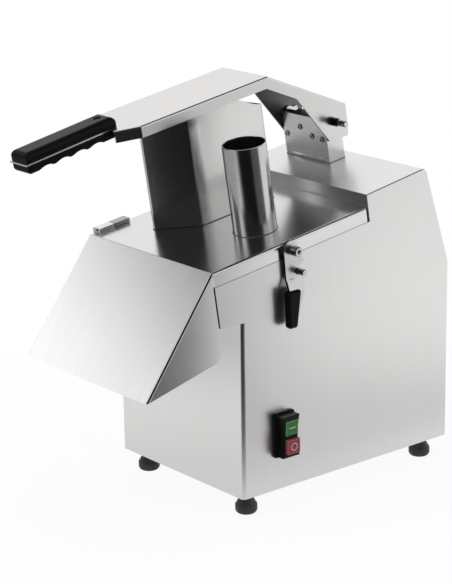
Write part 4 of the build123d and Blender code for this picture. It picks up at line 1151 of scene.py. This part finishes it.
@dataclass
class Studio:
    """Floor, lamps, world and camera."""

    azimuth: float = 50.704
    elevation: float = 16.452
    roll: float = -0.873
    lens: float = 128.4
    sensor: float = 36.0
    eye: Way = (1.90416, -1.65258, 0.97301)
    aim: Way = (0.0, -0.05, 0.25)
    floor_size: float = 6.0
    white: Color = (1.0, 1.0, 1.0)
    floor_dark: Color = (0.008, 0.008, 0.009)
    sky_dark: Color = (0.018, 0.018, 0.019)
    near_share: float = 0.22
    softbox_glow: float = 0.38
    dim: float = 0.45

    def build(self) -> None:
        """Makes the whole studio."""
        self.camera()
        self.floor()
        self.world()
        for lamp in LAMPS:
            lamp.build(Vector(self.aim))
        bpy.context.scene.view_settings.view_transform = "Standard"

    def camera(self) -> None:
        """The camera at the photograph's place."""
        turn, lift, roll = (math.radians(v) for v in (self.azimuth, self.elevation, self.roll))
        back = Vector(
            (math.sin(turn) * math.cos(lift), -math.cos(turn) * math.cos(lift), math.sin(lift))
        )
        level = Vector((math.cos(turn), math.sin(turn), 0))
        above = back.cross(level)
        right = level * math.cos(roll) + above * math.sin(roll)
        up = above * math.cos(roll) - level * math.sin(roll)
        data = bpy.data.cameras.new("camera")
        data.lens = self.lens
        data.sensor_width = self.sensor
        data.clip_end = 50.0
        camera = bpy.data.objects.new("camera", data)
        turned = Matrix((right, up, back)).transposed().to_4x4()
        camera.matrix_world = Matrix.Translation(housing_middle() + Vector(self.eye)) @ turned
        bpy.context.scene.collection.objects.link(camera)
        bpy.context.scene.camera = camera

    def floor(self) -> None:
        """A pale floor, white to the eye, with dark parts that only reflections see."""
        work = bmesh.new()
        bmesh.ops.create_grid(work, x_segments=4, y_segments=4, size=self.floor_size)
        mesh = bpy.data.meshes.new("floor")
        work.to_mesh(mesh)
        work.free()
        material = bpy.data.materials.new("floor_pale")
        material.use_nodes = True
        tree = ShaderTree(material.node_tree)
        lit = tree.node("ShaderNodeBsdfDiffuse", None, {"Color": (0.86, 0.86, 0.86, 1)})
        here = tree.place((1, 1, 0))
        reach = tree.node("ShaderNodeVectorMath", {"operation": "LENGTH"}, {0: here}, "Value")
        dark = self.floor_zones(tree, here, reach) * self.reflected(tree)
        shown = tree.blend(dark, self.white, self.floor_dark)
        glow = tree.node("ShaderNodeEmission", None, {"Color": shown, "Strength": 1.0})
        share = (reach.within(0.25, 0.8) * 0.08 + 0.92) * self.seen_rays(tree)
        mixed = tree.node("ShaderNodeMixShader", None, {0: share, 1: lit, 2: glow})
        tree.node("ShaderNodeOutputMaterial", None, {"Surface": mixed})
        mesh.materials.append(material)
        floor = bpy.data.objects.new("floor", mesh)
        bpy.context.scene.collection.objects.link(floor)

    def floor_zones(self, tree: ShaderTree, here: Channel, reach: Channel) -> Channel:
        """How dark a reflection sees the floor at a place, a reach away from the middle."""
        heading = tree.node("ShaderNodeVectorMath", {"operation": "NORMALIZE"}, {0: here})
        aisle = AISLE.mask(tree, heading) * reach.within(0.10, 0.45)
        beside = BESIDE.mask(tree, here) * BESIDE_AHEAD.mask(tree, here)
        near = (1.0 - reach.within(0.15, 0.55)) * self.near_share
        under = UNDER_HOOD.mask(tree, here)
        close = (1.0 - OFF_SIDE.mask(tree, here)) * OFF_SIDE_AHEAD.mask(tree, here)
        far = FAR_SIDE.mask(tree, heading) * reach.within(2.3, 3.5)
        return aisle.highest(beside, near, under, close, far)

    @staticmethod
    def seen_rays(tree: ShaderTree) -> Channel:
        """1 for camera, glossy and transmission rays, 0 for the rest."""
        camera = tree.node("ShaderNodeLightPath", output="Is Camera Ray")
        through = tree.node("ShaderNodeLightPath", output="Is Transmission Ray")
        return camera.highest(through, Studio.reflected(tree))

    @staticmethod
    def reflected(tree: ShaderTree) -> Channel:
        """1 for rays that come off a glossy surface."""
        return tree.node("ShaderNodeLightPath", output="Is Glossy Ray")

    def world(self) -> None:
        """White to the eye and dimmer as a light, with zones that only reflections see."""
        world = bpy.data.worlds.new("studio")
        world.use_nodes = True
        bpy.context.scene.world = world
        tree = ShaderTree(world.node_tree)
        heading = tree.node("ShaderNodeTexCoord", output="Generated")
        first, *others = (zone.mask(tree, heading) for zone in SKY_DARK)
        dark = first.highest(*others) * self.reflected(tree)
        shown = tree.blend(dark, self.white, self.sky_dark)
        plain = {"Color": (1, 1, 1, 1), "Strength": self.dim}
        dim = tree.node("ShaderNodeBackground", None, plain)
        glow = SOFTBOX.mask(tree, heading) * self.reflected(tree) * self.softbox_glow + 1.0
        bright = tree.node("ShaderNodeBackground", None, {"Color": shown, "Strength": glow})
        mixed = tree.node(
            "ShaderNodeMixShader", None, {0: self.seen_rays(tree), 1: dim, 2: bright}
        )
        tree.node("ShaderNodeOutputWorld", None, {"Surface": mixed})


def dress(nodes: dict[str, bpy.types.Object]) -> None:
    """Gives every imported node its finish."""
    for finish, names in DRESSING.items():
        for name in names:
            slots = nodes[name].data.materials
            slots.clear()
            slots.append(finish.material())
            LOG.info("%s dressed in %s", name, finish.name)


def main() -> None:
    """Builds the machine's looks and the studio."""
    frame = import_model()
    dress(frame["nodes"])
    screws = (
        Screws("bracket_screws", (0, -0.985, -0.174)),
        Screws("rear_cover_screws", (0, 1, 0)),
        Screws("base_screws", (0, 0, -1)),
        Screws("blade_screws", (0, -0.148, 0.989), Body.ROTOR),
    )
    for assembly in (
        Feet(),
        FeedTube(),
        Hopper(),
        GapShade(),
        BracketFootShade(),
        *screws,
        Studio(),
    ):
        assembly.build()
        LOG.info("%s is built", type(assembly).__name__)


if __name__ == "__main__":
    logging.basicConfig(level=logging.INFO, format="%(message)s")
    main()
